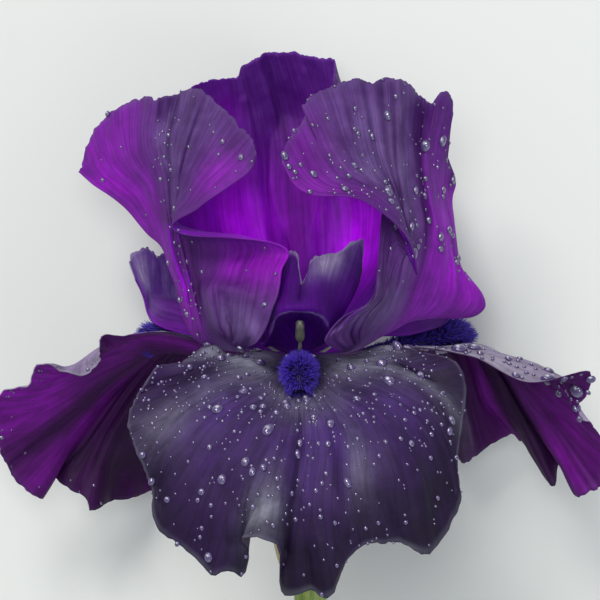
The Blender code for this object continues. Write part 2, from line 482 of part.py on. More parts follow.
def build():
    for old in list(bpy.data.objects):
        bpy.data.objects.remove(old)
    violet = material("petal_violet", (0.09, 0.015, 0.19), 0.55)
    lilac = material("style_lilac", (0.33, 0.16, 0.45), 0.5)
    fur = material("beard_blue", (0.12, 0.06, 0.42), 0.8)
    pollen = material("anther_grey_green", (0.5, 0.52, 0.42), 0.7)
    green = material("stem_green", (0.2, 0.33, 0.08), 0.5)
    paper = material("spathe_tan", (0.42, 0.33, 0.16), 0.7)
    blade("fall_front", FRONT_FALL, "fall", violet, PETAL_THICKNESS)
    blade("fall_left", LEFT_FALL, "fall", violet, PETAL_THICKNESS)
    blade("fall_right", RIGHT_FALL, "fall", violet, PETAL_THICKNESS)
    blade("standard_left", LEFT_STANDARD, "standard", violet, PETAL_THICKNESS)
    blade("standard_right", RIGHT_STANDARD, "standard", violet, PETAL_THICKNESS)
    blade("standard_back", BACK_STANDARD, "standard", violet, PETAL_THICKNESS)
    third = math.radians(120)
    blade("style_front", FRONT_STYLE, "style", lilac, STYLE_THICKNESS)
    blade("style_left", SIDE_STYLE, "style", lilac, STYLE_THICKNESS, -third)
    blade("style_right", SIDE_STYLE, "style", lilac, STYLE_THICKNESS, third)
    stamen("stamen_front", pollen, 0)
    stamen("stamen_left", pollen, -third)
    stamen("stamen_right", pollen, third)
    beard("front", FRONT_FALL, fur)
    beard("left", LEFT_FALL, fur)
    beard("right", RIGHT_FALL, fur)
    ring_solid("tube_and_ovary", TUBE_LINE, TUBE_RADII, green, 12, 15)
    ring_solid("stem", STEM_LINE, STEM_RADII, green, 12, 12)
    spathe("spathe_left", paper, math.radians(-60), 42, 0.5)
    spathe("spathe_right", paper, math.radians(120), 36, 1.2)
    place_on_surface()


build()
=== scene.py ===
"""How a bearded iris bloom looks: its petals, style arms, beards, raindrops, light and camera.

Shapes are in millimetres from the bloom's heart, the middle of the perianth tube's mouth: x to the right,
y towards the standards and z towards the front fall. They are the part's own values, at a finer grain.
"""

import math
import random

import bmesh
import bpy
import numpy as np
from mathutils import Matrix, Vector, noise


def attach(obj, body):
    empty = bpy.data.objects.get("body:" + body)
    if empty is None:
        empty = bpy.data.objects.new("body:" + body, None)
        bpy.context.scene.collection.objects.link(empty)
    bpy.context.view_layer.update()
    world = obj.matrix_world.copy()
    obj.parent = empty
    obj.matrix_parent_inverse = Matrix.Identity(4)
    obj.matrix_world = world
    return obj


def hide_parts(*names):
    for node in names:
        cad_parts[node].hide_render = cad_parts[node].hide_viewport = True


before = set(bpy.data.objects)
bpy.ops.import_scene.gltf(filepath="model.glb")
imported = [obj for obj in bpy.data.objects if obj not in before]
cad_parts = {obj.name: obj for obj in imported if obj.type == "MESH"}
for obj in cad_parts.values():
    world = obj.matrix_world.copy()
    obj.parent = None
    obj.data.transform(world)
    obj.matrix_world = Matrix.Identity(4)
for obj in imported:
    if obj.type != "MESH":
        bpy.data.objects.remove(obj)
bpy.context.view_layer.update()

MM = 0.001
AXIS_HEIGHT = 52.0  # heart above the floor, in millimetres
HEART = Vector((0.294, 36.423, AXIS_HEIGHT))
PETAL_THICKNESS = 0.62
SPATHE_THICKNESS = 0.5
EDGE_SHARE = 0.45  # thickness at a petal's margin, as a share of the thickness at its middle

# Each blade is a list of cross rows from its claw to its margin: (share of the way to the margin, points).
# A point is (share of the way across, x, y, z).

FRONT_FALL = [
    (0.00, [(0, -2.6, 0.6, 6.9), (0.5, 0.0, 0.0, 7.4), (1, 2.6, 0.6, 6.9)]),
    (0.15, [(0, -7.6, 2.2, 9.6), (0.25, -4, -1.2, 14), (0.5, 0, -2.6, 16), (0.75, 4, -1.2, 14),
            (1, 7, 1.5, 9.6)]),
    (0.32, [(0, -11.4, 2.3, 14), (0.12, -11.2, 0, 20.5), (0.25, -8.8, -4.8, 28.5), (0.38, -5, -7.8, 34.5),
            (0.5, 0, -9.2, 37), (0.62, 5, -7.8, 34.5), (0.75, 8.8, -4.8, 28.5), (0.88, 11, -0.6, 21),
            (1, 11.4, 1.0, 14.5)]),
    (0.55, [(0, -17.5, 1.4, 18), (0.12, -22, -1.5, 26), (0.25, -21, -9, 37), (0.38, -11.5, -17, 47),
            (0.5, 0, -20, 51), (0.62, 11.5, -17, 48), (0.75, 22, -9.5, 40), (0.88, 24, -1.5, 29),
            (1, 19, 3.6, 18)]),
    (0.8, [(0, -21, 3.6, 19), (0.12, -32, -4.5, 30), (0.25, -32.5, -19, 42), (0.38, -20, -33, 50),
           (0.43, -13, -34, 54), (0.47, -6, -33, 57.5), (0.52, 0, -38, 54), (0.57, 6, -38, 55),
           (0.64, 17, -31, 54), (0.75, 32, -21, 46), (0.88, 33, -5.5, 36), (1, 23, 3.8, 20)]),
    (1.0, [(0, -23.5, 3.7, 20), (0.03, -27.5, 1, 21.5), (0.06, -31, -1, 24), (0.09, -35, -1.2, 28),
           (0.12, -39, -7, 33), (0.15, -41, -10.5, 35), (0.18, -42, -15.2, 38), (0.21, -41, -19.2, 38),
           (0.24, -38.5, -25, 40), (0.28, -36.2, -31.2, 42), (0.32, -34.6, -40.5, 43),
           (0.35, -29, -44.7, 44), (0.38, -23.5, -49.5, 45), (0.395, -21, -52, 46),
           (0.41, -17.3, -50.5, 49), (0.425, -13.5, -51.7, 46), (0.435, -12.4, -46, 48),
           (0.445, -14.5, -43, 55), (0.455, -12, -42, 58), (0.465, -9, -42.6, 59), (0.48, -5.2, -45, 56),
           (0.49, -4.9, -51, 50), (0.5, -4.6, -55.7, 48), (0.515, -1, -56.5, 51), (0.53, 3, -55.2, 50),
           (0.545, 5.6, -57, 52), (0.56, 8, -56.2, 53), (0.575, 9.7, -52.5, 52), (0.59, 11, -48.7, 51),
           (0.61, 14, -45.2, 52), (0.63, 17.4, -43.8, 53), (0.65, 21, -44, 51), (0.67, 24.5, -43.6, 49),
           (0.69, 28, -45.8, 50), (0.71, 31.2, -46.5, 50), (0.73, 35, -42.5, 47), (0.75, 37.2, -38, 46),
           (0.78, 39.2, -33.8, 44), (0.81, 38.4, -27, 42), (0.84, 38.6, -20.5, 40),
           (0.87, 40.2, -11.7, 37), (0.9, 40.4, -4.2, 34), (0.92, 38.3, -0.3, 31), (0.94, 34.5, 1.4, 28),
           (0.96, 28.7, 2.4, 24), (0.98, 24.4, 3.7, 21.5), (1, 22, 4.2, 20)]),
]

LEFT_FALL = [
    (0.00, [(0, -7.4, 0.6, -1.3), (0.5, -6.2, 0.0, -3.6), (1, -4.9, 0.6, -5.8)]),
    (0.15, [(0, -17.8, 3.4, -4.8), (0.5, -15.8, -0.8, -9.1), (1, -13.4, 2.6, -12.9)]),
    (0.35, [(0, -30, 6.4, -9.5), (0.25, -34.5, 4.6, -13), (0.5, -35.5, 2.0, -20),
            (0.75, -30.5, 2.8, -25.5), (1, -21, 4.4, -23)]),
    (0.55, [(0, -36, 7.1, -10), (0.25, -46, 4.4, -13), (0.5, -47, -3, -22), (0.75, -40, -5.5, -31),
            (1, -23.5, 2, -29)]),
    (0.8, [(0, -40, 6.6, -9.5), (0.1, -48, 2.5, -7), (0.2, -54, 0, -11), (0.35, -62.5, -5.5, -8),
           (0.5, -63, -14, -17), (0.62, -58, -20, -24), (0.7, -54, -23, -28), (0.78, -48.5, -24.5, -30),
           (0.88, -36, -23, -42), (1, -24.5, -1.5, -33)]),
    (1.0, [(0, -42, 6.2, -9), (0.04, -46, 6.0, -6.5), (0.07, -49.2, 6.3, -3.5), (0.09, -50.5, 5, -1.5),
           (0.11, -50, 2.5, -3), (0.14, -50.7, -0.5, -5.5), (0.17, -52.5, -3, -6),
           (0.2, -55.8, -3.7, -3.5), (0.23, -59.5, -2.7, -1), (0.26, -63.2, -1, 2),
           (0.28, -65.7, -1.5, 3), (0.3, -66.7, -3.5, 1), (0.32, -67.2, -5.7, -2),
           (0.35, -70.5, -6.7, -3), (0.38, -74, -7.7, -2.5), (0.42, -76.5, -11.2, -5),
           (0.46, -77.2, -16.2, -9), (0.5, -76, -21.7, -12), (0.53, -74.7, -25.2, -14.5),
           (0.56, -73.4, -27.4, -16), (0.585, -72.2, -30.5, -17), (0.61, -69.5, -32.7, -17.5),
           (0.63, -67, -34.7, -18.5), (0.645, -65.4, -35, -20.5), (0.66, -64.5, -32.5, -24),
           (0.675, -63.6, -29.4, -26.5), (0.7, -60, -32.2, -26), (0.725, -56.2, -34.2, -25),
           (0.745, -54, -35.7, -24), (0.755, -53.4, -37.7, -23.5), (0.77, -52.2, -38.4, -25),
           (0.785, -51, -37.2, -28), (0.81, -47.5, -36.2, -32), (0.84, -42.5, -35.5, -36),
           (0.87, -38, -34, -42), (0.9, -34.5, -35, -51), (0.93, -30.5, -33.5, -58),
           (0.96, -26, -27, -58), (0.98, -24, -17.5, -47), (1, -24.5, -6, -36)]),
]

RIGHT_FALL = [
    (0.00, [(0, 7.4, 0.6, -1.3), (0.5, 6.2, 0.0, -3.6), (1, 4.9, 0.6, -5.8)]),
    (0.15, [(0, 17.8, 2.6, -4.8), (0.5, 15.8, -0.8, -9.1), (1, 13.4, 2.2, -12.9)]),
    (0.35, [(0, 30, 2.8, -5.5), (0.25, 34, 3.0, -11), (0.5, 35, 1.8, -18.5), (0.75, 31, 3.4, -25.5),
            (1, 22, 4.4, -24)]),
    (0.55, [(0, 43, 0.9, -1), (0.1, 45.5, 2.2, -5), (0.25, 47, 2.8, -12), (0.5, 46, 2, -22.5),
            (0.75, 40, 1.5, -31), (1, 24.5, 2.5, -31)]),
    (0.8, [(0, 57, -5.8, 4), (0.08, 62, -3.2, -2), (0.2, 64, -6, -8), (0.35, 63.5, -14, -13),
           (0.5, 57, -13.5, -21), (0.6, 52.5, -12.5, -27), (0.7, 47, -11, -32), (0.82, 40.5, -13, -37),
           (0.92, 33, -11, -44), (1, 26, -1, -36)]),
    (1.0, [(0, 68.5, -3.2, 6), (0.03, 72, -2.9, 5), (0.06, 72.6, -5.5, 3), (0.1, 71.7, -8.5, 1),
           (0.14, 69.4, -12, -1), (0.17, 70.7, -14.2, 0), (0.2, 72.5, -16, 1), (0.24, 74.2, -18, 0),
           (0.29, 76.4, -22, -3), (0.34, 76.2, -28, -6), (0.39, 74.7, -32.5, -8.5),
           (0.42, 72.5, -33.2, -9), (0.445, 70.5, -34.5, -10), (0.465, 69, -34, -12.5),
           (0.485, 68, -30.5, -16), (0.505, 66.2, -25.5, -19.5), (0.52, 65.2, -27.5, -21),
           (0.54, 64.4, -32, -20.5), (0.56, 62.8, -31.3, -22), (0.59, 60.7, -27.5, -25),
           (0.62, 59, -23.4, -28), (0.65, 56.7, -20.8, -31), (0.68, 54.5, -19.4, -34),
           (0.71, 51.7, -20.2, -35), (0.75, 47.7, -22.7, -35.5), (0.79, 44.7, -25, -36.5),
           (0.82, 42, -26.6, -39), (0.84, 40.6, -25, -42), (0.87, 39.6, -21, -46), (0.91, 37, -21, -58),
           (0.95, 32.5, -18, -58), (0.98, 29, -11, -47), (1, 27, -4, -40)]),
]

LEFT_STANDARD = [
    (0.00, [(0, -5.8, 1.6, 0.7), (0.5, -4.6, 1.3, 2.7), (1, -3.4, 1.6, 4.7)]),
    (0.14, [(0, -16, 2.9, 4.6), (0.5, -14.5, 2.2, 8), (1, -12.6, 3.2, 10.6)]),
    (0.27, [(0, -27.5, 7.5, 8.5), (0.5, -24.5, 5.6, 13), (0.65, -21.8, 5.8, 15), (0.78, -19, 5.6, 20),
            (1, -13.6, 3.0, 24)]),
    (0.34, [(0, -29.7, 13, 8), (0.5, -26, 11.5, 13.5), (0.65, -23.5, 10.6, 15), (0.78, -21.4, 9.6, 22),
            (0.9, -15.4, 7.6, 27), (1, -9.8, 5.6, 33)]),
    (0.41, [(0, -31.2, 19, 7), (0.5, -27.5, 18, 13.5), (0.65, -25, 17, 14), (0.78, -22.4, 17.4, 20),
            (0.9, -14.5, 16.5, 28), (1, -6, 14.6, 35.5)]),
    (0.47, [(0, -32.8, 23.5, 6), (0.5, -28.8, 22.5, 13.4), (0.65, -26, 22.3, 12.8), (0.78, -20.5, 22, 15),
            (0.9, -13, 21.4, 23), (1, -4.6, 21.6, 32)]),
    (0.54, [(0, -34.8, 28.5, 4.6), (0.5, -30.4, 28.5, 13), (0.65, -27.4, 30, 12.5), (0.78, -20, 30, 15),
            (0.9, -12, 29.7, 21), (1, -5, 28.6, 28)]),
    (0.6, [(0, -38, 31.4, 2.5), (0.5, -31.6, 34, 12.5), (0.8, -29.6, 33.4, 17), (1, -28.4, 31.5, 22)]),
    (0.7, [(0, -43.5, 38, -1.5), (0.25, -37.5, 42, 5.5), (0.5, -32.3, 44, 11.5), (0.8, -28, 41.5, 18),
           (1, -25, 37.6, 25)]),
    (0.85, [(0, -52, 44, -8), (0.25, -44, 50.5, -0.5), (0.5, -33.2, 54.5, 9.5), (0.75, -24, 53, 17),
            (1, -13, 46.3, 25.5)]),
    (1.0, [(0, -55.8, 47.2, -11), (0.08, -53.8, 53.2, -11), (0.16, -51, 58.5, -9.5),
           (0.24, -47, 62.5, -7), (0.32, -41, 65.2, -2), (0.38, -37.5, 65.7, 2.5), (0.42, -35.6, 65.1, 6),
           (0.46, -33.7, 65.8, 4), (0.5, -31.2, 66.2, 2.5), (0.55, -28.5, 67.3, 3), (0.6, -26, 67.4, 6),
           (0.66, -23.2, 66.2, 10), (0.72, -20.7, 63.6, 14), (0.78, -17.7, 61.4, 17), (0.84, -15, 58, 20),
           (0.9, -12.2, 55.2, 22.5), (1, -10.7, 50.8, 24.5)]),
]

RIGHT_STANDARD = [
    (0.00, [(0, 3.4, 1.6, 4.7), (0.5, 4.6, 1.3, 2.7), (1, 5.8, 1.6, 0.7)]),
    (0.12, [(0, 10.6, 2.2, 12.6), (0.5, 12.5, 2.2, 7.5), (1, 14, 2.9, 4)]),
    (0.22, [(0, 9.6, 2.6, 26), (0.25, 14, 4.2, 18), (0.5, 17, 4.6, 11), (1, 22, 7.4, 3)]),
    (0.29, [(0, 6, 5.2, 33), (0.25, 14, 7.6, 24), (0.5, 19.5, 8, 12.3), (0.75, 25, 9, 4), (1, 31, 11, -4)]),
    (0.35, [(0, 9.5, 10, 33), (0.25, 16, 11, 25), (0.5, 21.6, 11, 13), (0.75, 28.5, 12, 3),
            (1, 40.5, 10.4, -5)]),
    (0.43, [(0, 17.4, 15, 28.5), (0.25, 20.5, 16, 21.5), (0.5, 23.8, 16, 13.3), (0.75, 31.5, 17, 3),
            (1, 46, 12.6, -6)]),
    (0.51, [(0, 19.1, 24, 19), (0.25, 22, 22, 16.5), (0.5, 25.4, 21, 13.6), (0.75, 33.2, 22.5, 3),
            (1, 45.6, 16.6, -7)]),
    (0.56, [(0, 21, 39, 10.5), (0.25, 24.3, 27.4, 14), (0.5, 26.3, 25, 13.6), (0.75, 34, 26.5, 3),
            (1, 43.4, 20, -7.5)]),
    (0.62, [(0, 28.6, 21.2, 20.5), (0.25, 27.6, 27.5, 17.6), (0.5, 27, 30, 13.6), (0.75, 34.3, 30.5, 3.5),
            (1, 40.6, 24, -8)]),
    (0.67, [(0, 26.8, 29.4, 22.4), (0.25, 26, 33, 18), (0.5, 26.6, 34, 13.6), (0.75, 34, 35, 4),
            (1, 39.4, 31, -8)]),
    (0.73, [(0, 18.2, 38, 24.5), (0.25, 22.5, 40, 18.8), (0.5, 25.7, 39.5, 13.4), (0.75, 33, 40, 4.5),
            (1, 38.3, 38, -8)]),
    (0.85, [(0, 1.8, 41.2, 24.5), (0.25, 13, 48, 19.4), (0.5, 24, 50, 12.8), (0.75, 32, 50, 5.5),
            (1, 39.2, 44.5, -7.5)]),
    (1.0, [(0, -4.6, 48.7, 23.5), (0.06, -3.4, 53.8, 23), (0.11, -1, 57.2, 22), (0.15, 1.4, 61, 21),
           (0.18, 0.6, 63, 22), (0.22, 3.3, 65.7, 20), (0.27, 7.6, 67.7, 17), (0.32, 11.4, 69.3, 14),
           (0.37, 14.5, 70, 11.5), (0.42, 17.8, 69, 10), (0.46, 21, 70.2, 8), (0.52, 24.4, 69.8, 9),
           (0.58, 27, 68.6, 7), (0.63, 29.2, 66.7, 3.5), (0.67, 31.5, 65, 3), (0.71, 32.8, 64, 6.5),
           (0.75, 34.6, 66.3, 8.5), (0.79, 36.4, 66.8, 7), (0.83, 37.8, 64.6, 5), (0.87, 38.1, 61, 3.5),
           (0.92, 37.2, 57, 1.5), (0.96, 35.6, 53.5, -1.5), (1, 37.2, 50, -5)]),
]

BACK_STANDARD = [
    (0.00, [(0, -2.5, 1.6, -5.2), (0.5, 0, 1.3, -5.8), (1, 2.5, 1.6, -5.2)]),
    (0.14, [(0, -12.5, 2.6, -16), (0.5, 0, 3.2, -17), (1, 12.5, 2.6, -16)]),
    (0.28, [(0, -17, 12, -22), (0.5, 0, 9, -32), (1, 17, 12, -22)]),
    (0.45, [(0, -28, 25, -20), (0.25, -13, 23, -40), (0.45, -1, 22, -47), (0.7, 13, 23, -40),
            (1, 27, 25, -22)]),
    (0.65, [(0, -36, 40, -16), (0.2, -20, 42, -43), (0.4, -6, 41, -53), (0.6, 7, 42, -53),
            (0.8, 20, 42, -43), (1, 32, 41, -24)]),
    (0.83, [(0, -32, 60, -19), (0.2, -20, 62, -40), (0.37, -9, 59, -50), (0.6, 5, 60, -53),
            (0.8, 14, 60, -38), (1, 26, 58, -24)]),
    (1.0, [(0, -29, 67, -19), (0.08, -27.5, 68.7, -22), (0.15, -23.7, 70.7, -28),
           (0.22, -19.5, 71.5, -33), (0.29, -15.7, 72.4, -38), (0.33, -15.1, 74.5, -36),
           (0.38, -12.5, 75.7, -33), (0.44, -9.7, 77.5, -31), (0.51, -6, 78.5, -32),
           (0.58, -1.7, 78.2, -34), (0.65, 2.2, 77.2, -33), (0.72, 6, 76.5, -30), (0.77, 7.9, 75.9, -26),
           (0.81, 8.8, 74.6, -23), (0.85, 8.5, 71.7, -21), (0.9, 9, 68, -22), (0.95, 13, 64, -24),
           (1, 19, 61, -24)]),
]

# Style arms are written as if facing the front, and turned about the bloom's axis.
FRONT_STYLE = [
    (0.00, [(0, -1.7, 1.6, 2.6), (0.5, 0, 2.1, 2.3), (1, 1.7, 1.6, 2.6)]),
    (0.2, [(0, -4, 3.2, 9), (0.5, 0, 6.2, 8.8), (1, 4, 3.2, 9)]),
    (0.4, [(0, -6.6, 3.8, 18), (0.25, -4.8, 8, 19), (0.5, 0, 10.4, 19.5), (0.75, 4.6, 8, 19),
           (1, 5.6, 4, 18)]),
    (0.56, [(0, -8.8, 3.4, 26), (0.25, -6.2, 9, 29), (0.5, 0, 12, 31), (0.75, 5.2, 9, 29),
            (1, 6.6, 4.6, 26)]),
    (0.66, [(0, -8.2, 5, 28), (0.25, -5.4, 11.4, 35.8), (0.5, 0, 12.6, 37.8), (0.75, 5.4, 11.4, 35.8),
            (1, 7.8, 6.6, 29)]),
    (0.82, [(0, -7.8, 14, 25.5), (0.25, -4.6, 17.5, 30), (0.5, 0, 15.5, 35.6), (0.75, 5.5, 18.5, 33),
            (1, 12.6, 15, 25.5)]),
    (1.0, [(0, -6.4, 22.5, 21), (0.12, -5.4, 25.6, 21), (0.25, -3, 27, 22.5), (0.38, -0.6, 26, 25),
           (0.5, 0.6, 18.5, 32), (0.6, 2.2, 23.6, 28), (0.7, 5, 26, 26), (0.78, 9, 26.5, 24),
           (0.85, 12.4, 29, 21), (0.93, 15.6, 29.5, 15.5), (1, 15.4, 22, 17)]),
]
SIDE_STYLE = [
    (0.00, [(0, -1.7, 1.6, 2.6), (0.5, 0, 2.1, 2.3), (1, 1.7, 1.6, 2.6)]),
    (0.2, [(0, -3.8, 4.4, 9), (0.5, 0, 6.6, 8.8), (1, 3.8, 4.4, 9)]),
    (0.4, [(0, -6.4, 5.8, 18), (0.25, -4.6, 9.4, 19), (0.5, 0, 11, 19.5), (0.75, 4.6, 9.4, 19),
           (1, 6.4, 5.8, 18)]),
    (0.56, [(0, -8.4, 6.4, 28), (0.25, -5.8, 12, 30.5), (0.5, 0, 14, 31.5), (0.75, 5.8, 12, 30.5),
            (1, 8.4, 6.4, 28)]),
    (0.68, [(0, -9, 9, 37), (0.25, -5.6, 14.2, 39.4), (0.5, 0, 15.2, 40), (0.75, 5.6, 14.2, 39.4),
            (1, 9, 9, 37)]),
    (0.82, [(0, -9.4, 15.5, 40), (0.25, -5.8, 19, 41.5), (0.5, 0, 19, 41.4), (0.75, 5.8, 19, 41.5),
            (1, 9.4, 15.5, 40)]),
    (1.0, [(0, -8, 19.5, 39), (0.12, -7.4, 23.5, 40.5), (0.25, -5, 26, 41.5), (0.38, -2.4, 26.8, 42),
           (0.5, 0, 25.4, 42), (0.62, 2.4, 27.4, 42), (0.75, 5.6, 28, 42.5), (0.88, 8.8, 25.5, 44.5),
           (1, 10, 20.5, 42)]),
]

# How far along each fall its beard begins and ends, and its greatest radius
BEARD_SPANS = {"front": (0.11, 0.315), "left": (0.11, 0.4), "right": (0.15, 0.47)}
BEARD_RADIUS = 4.4

# The stem and the tube above it: (share, x, y, z) down the middle line, then (share, radius)
TUBE_LINE = [(0.0, 0, -0.9, 0), (0.4, 0.4, -20, -1.2), (1.0, 2.0, -45, -5.6)]
TUBE_RADII = [(0.0, 7.7), (0.06, 7.4), (0.25, 4.6), (0.42, 3.9), (0.6, 5.2), (0.8, 5.6), (0.93, 4.6),
              (1.0, 3.9)]
STEM_LINE = [(0.0, 2.05, -45.9, -5.8), (0.3, 3.0, -74, -14.2), (0.6, 4.6, -107, -28.0),
             (1.0, 6.0, -150, -49.0)]
STEM_RADII = [(0.0, 3.9), (0.06, 3.5), (0.2, 4.1), (0.26, 3.5), (0.7, 3.5), (1.0, 3.7)]

# Spathe valves: (share of the length, half angle about the stem in degrees, distance from its middle line)
SPATHE_BASE = -56.0
SPATHE_ROWS = [(0.0, 78, 4.9), (0.15, 80, 7.4), (0.4, 76, 9.4), (0.75, 52, 10.2), (1.0, 14, 11.0)]

# Long folds that fan out from each claw: (share of the way across, half width, height towards the front)
FOLDS = {
    "fall_front": [(0.07, 0.03, 1.2), (0.14, 0.03, -1.8), (0.2, 0.03, 1.3), (0.3, 0.04, -1.0),
                   (0.5, 0.02, -1.2), (0.6, 0.03, -1.0), (0.69, 0.03, 1.6), (0.78, 0.03, -1.0),
                   (0.83, 0.02, 1.2), (0.875, 0.02, -2.2), (0.93, 0.025, 1.6)],
    "fall_left": [(0.5, 0.05, 1.2), (0.66, 0.03, -2.5), (0.77, 0.03, 2.0), (0.87, 0.03, -1.5)],
    "fall_right": [(0.4, 0.04, 1.2), (0.5, 0.02, -2.0), (0.55, 0.025, 1.5), (0.61, 0.03, -1.5),
                   (0.72, 0.03, -1.5), (0.81, 0.035, 2.5)],
    "standard_left": [(0.4, 0.05, 0.8), (0.5, 0.03, -1.6), (0.6, 0.04, 1.0)],
    "standard_right": [(0.44, 0.04, -1.0), (0.52, 0.025, 1.2), (0.66, 0.03, -1.8), (0.75, 0.04, 1.2)],
    "standard_back": [(0.35, 0.04, 1.2), (0.46, 0.03, -2.0), (0.58, 0.05, 1.2)],
}

# A blade's wall: where it thins towards its far margin, and how near its two sides, as shares of the blade
THIN_END = 0.93
THIN_SIDE = 0.1

# Cells across and along each kind of blade
GRAIN = {"fall": (176, 104), "standard": (150, 120), "style": (84, 72), "spathe": (48, 40)}

# How far each kind of blade ruffles at its margin and how deep its teeth are, in millimetres
MARGINS = {"fall": (1.0, 0.5), "standard": (0.8, 0.7), "style": (0.8, 1.4)}

# Relief: swellings to a millimetre of the margin and to the blade's length, seed and height in millimetres
RELIEF = {"wave": (0.2, 3.0, 1.0, 1.0), "vein": (0.9, 3.5, 7.0, 0.09), "rib": (0.3, 2.2, 9.0, 0.22)}
SWELL_LENGTH = 9.0
SWELL_HEIGHT = 0.5

# Beards: the radius in the throat, the share of its length where it is widest, the pad and its hairs
THROAT_RADIUS = 1.2
BEARD_WIDEST = 0.75
BEARD_RINGS = 16
PAD_SHARE = 0.72
HAIRS = {"front": 2800, "left": 2600, "right": 2600}
HAIRS_IN_HAND = 60

# A stamen's middle line and radii, the end of the tube, and each spathe's turn, length and lean outwards
STAMEN_LINE = [(0.0, 0, 0.7, 4.9), (0.25, 0, 2.7, 7.6), (0.45, 0, 5.3, 12), (0.7, 0, 7.9, 19),
               (1.0, 0, 9.6, 25.5)]
STAMEN_RADII = [(0.0, 0.5), (0.3, 0.5), (0.42, 0.55), (0.48, 1.1), (0.7, 1.15), (0.92, 1.0), (1.0, 0.4)]
TUBE_END = -45.2
SPATHES = {"spathe_left": (-60, 42, 0.5), "spathe_right": (120, 36, 1.2)}

# Raindrops: their radii in millimetres, how many there are of each from the smallest, and where one can stay
DROPS = (0.27, 0.38, 0.55, 0.82, 1.25)
LARGE_DROPS = (0.5, 0.9, 1.3, 1.7)
DROP_SHARES = (12, 8, 5, 3, 1.3)
STEEPEST_WET = 0.22
TRIES_PER_DROP = 14
DROPS_IN_HAND = 40

# Masks that are painted on a blade: glow, painted daylight coming through it; bloom, painted velvet sheen;
# dark, painted shade along folds and low edges
MASKS = ("glow", "bloom", "dark")
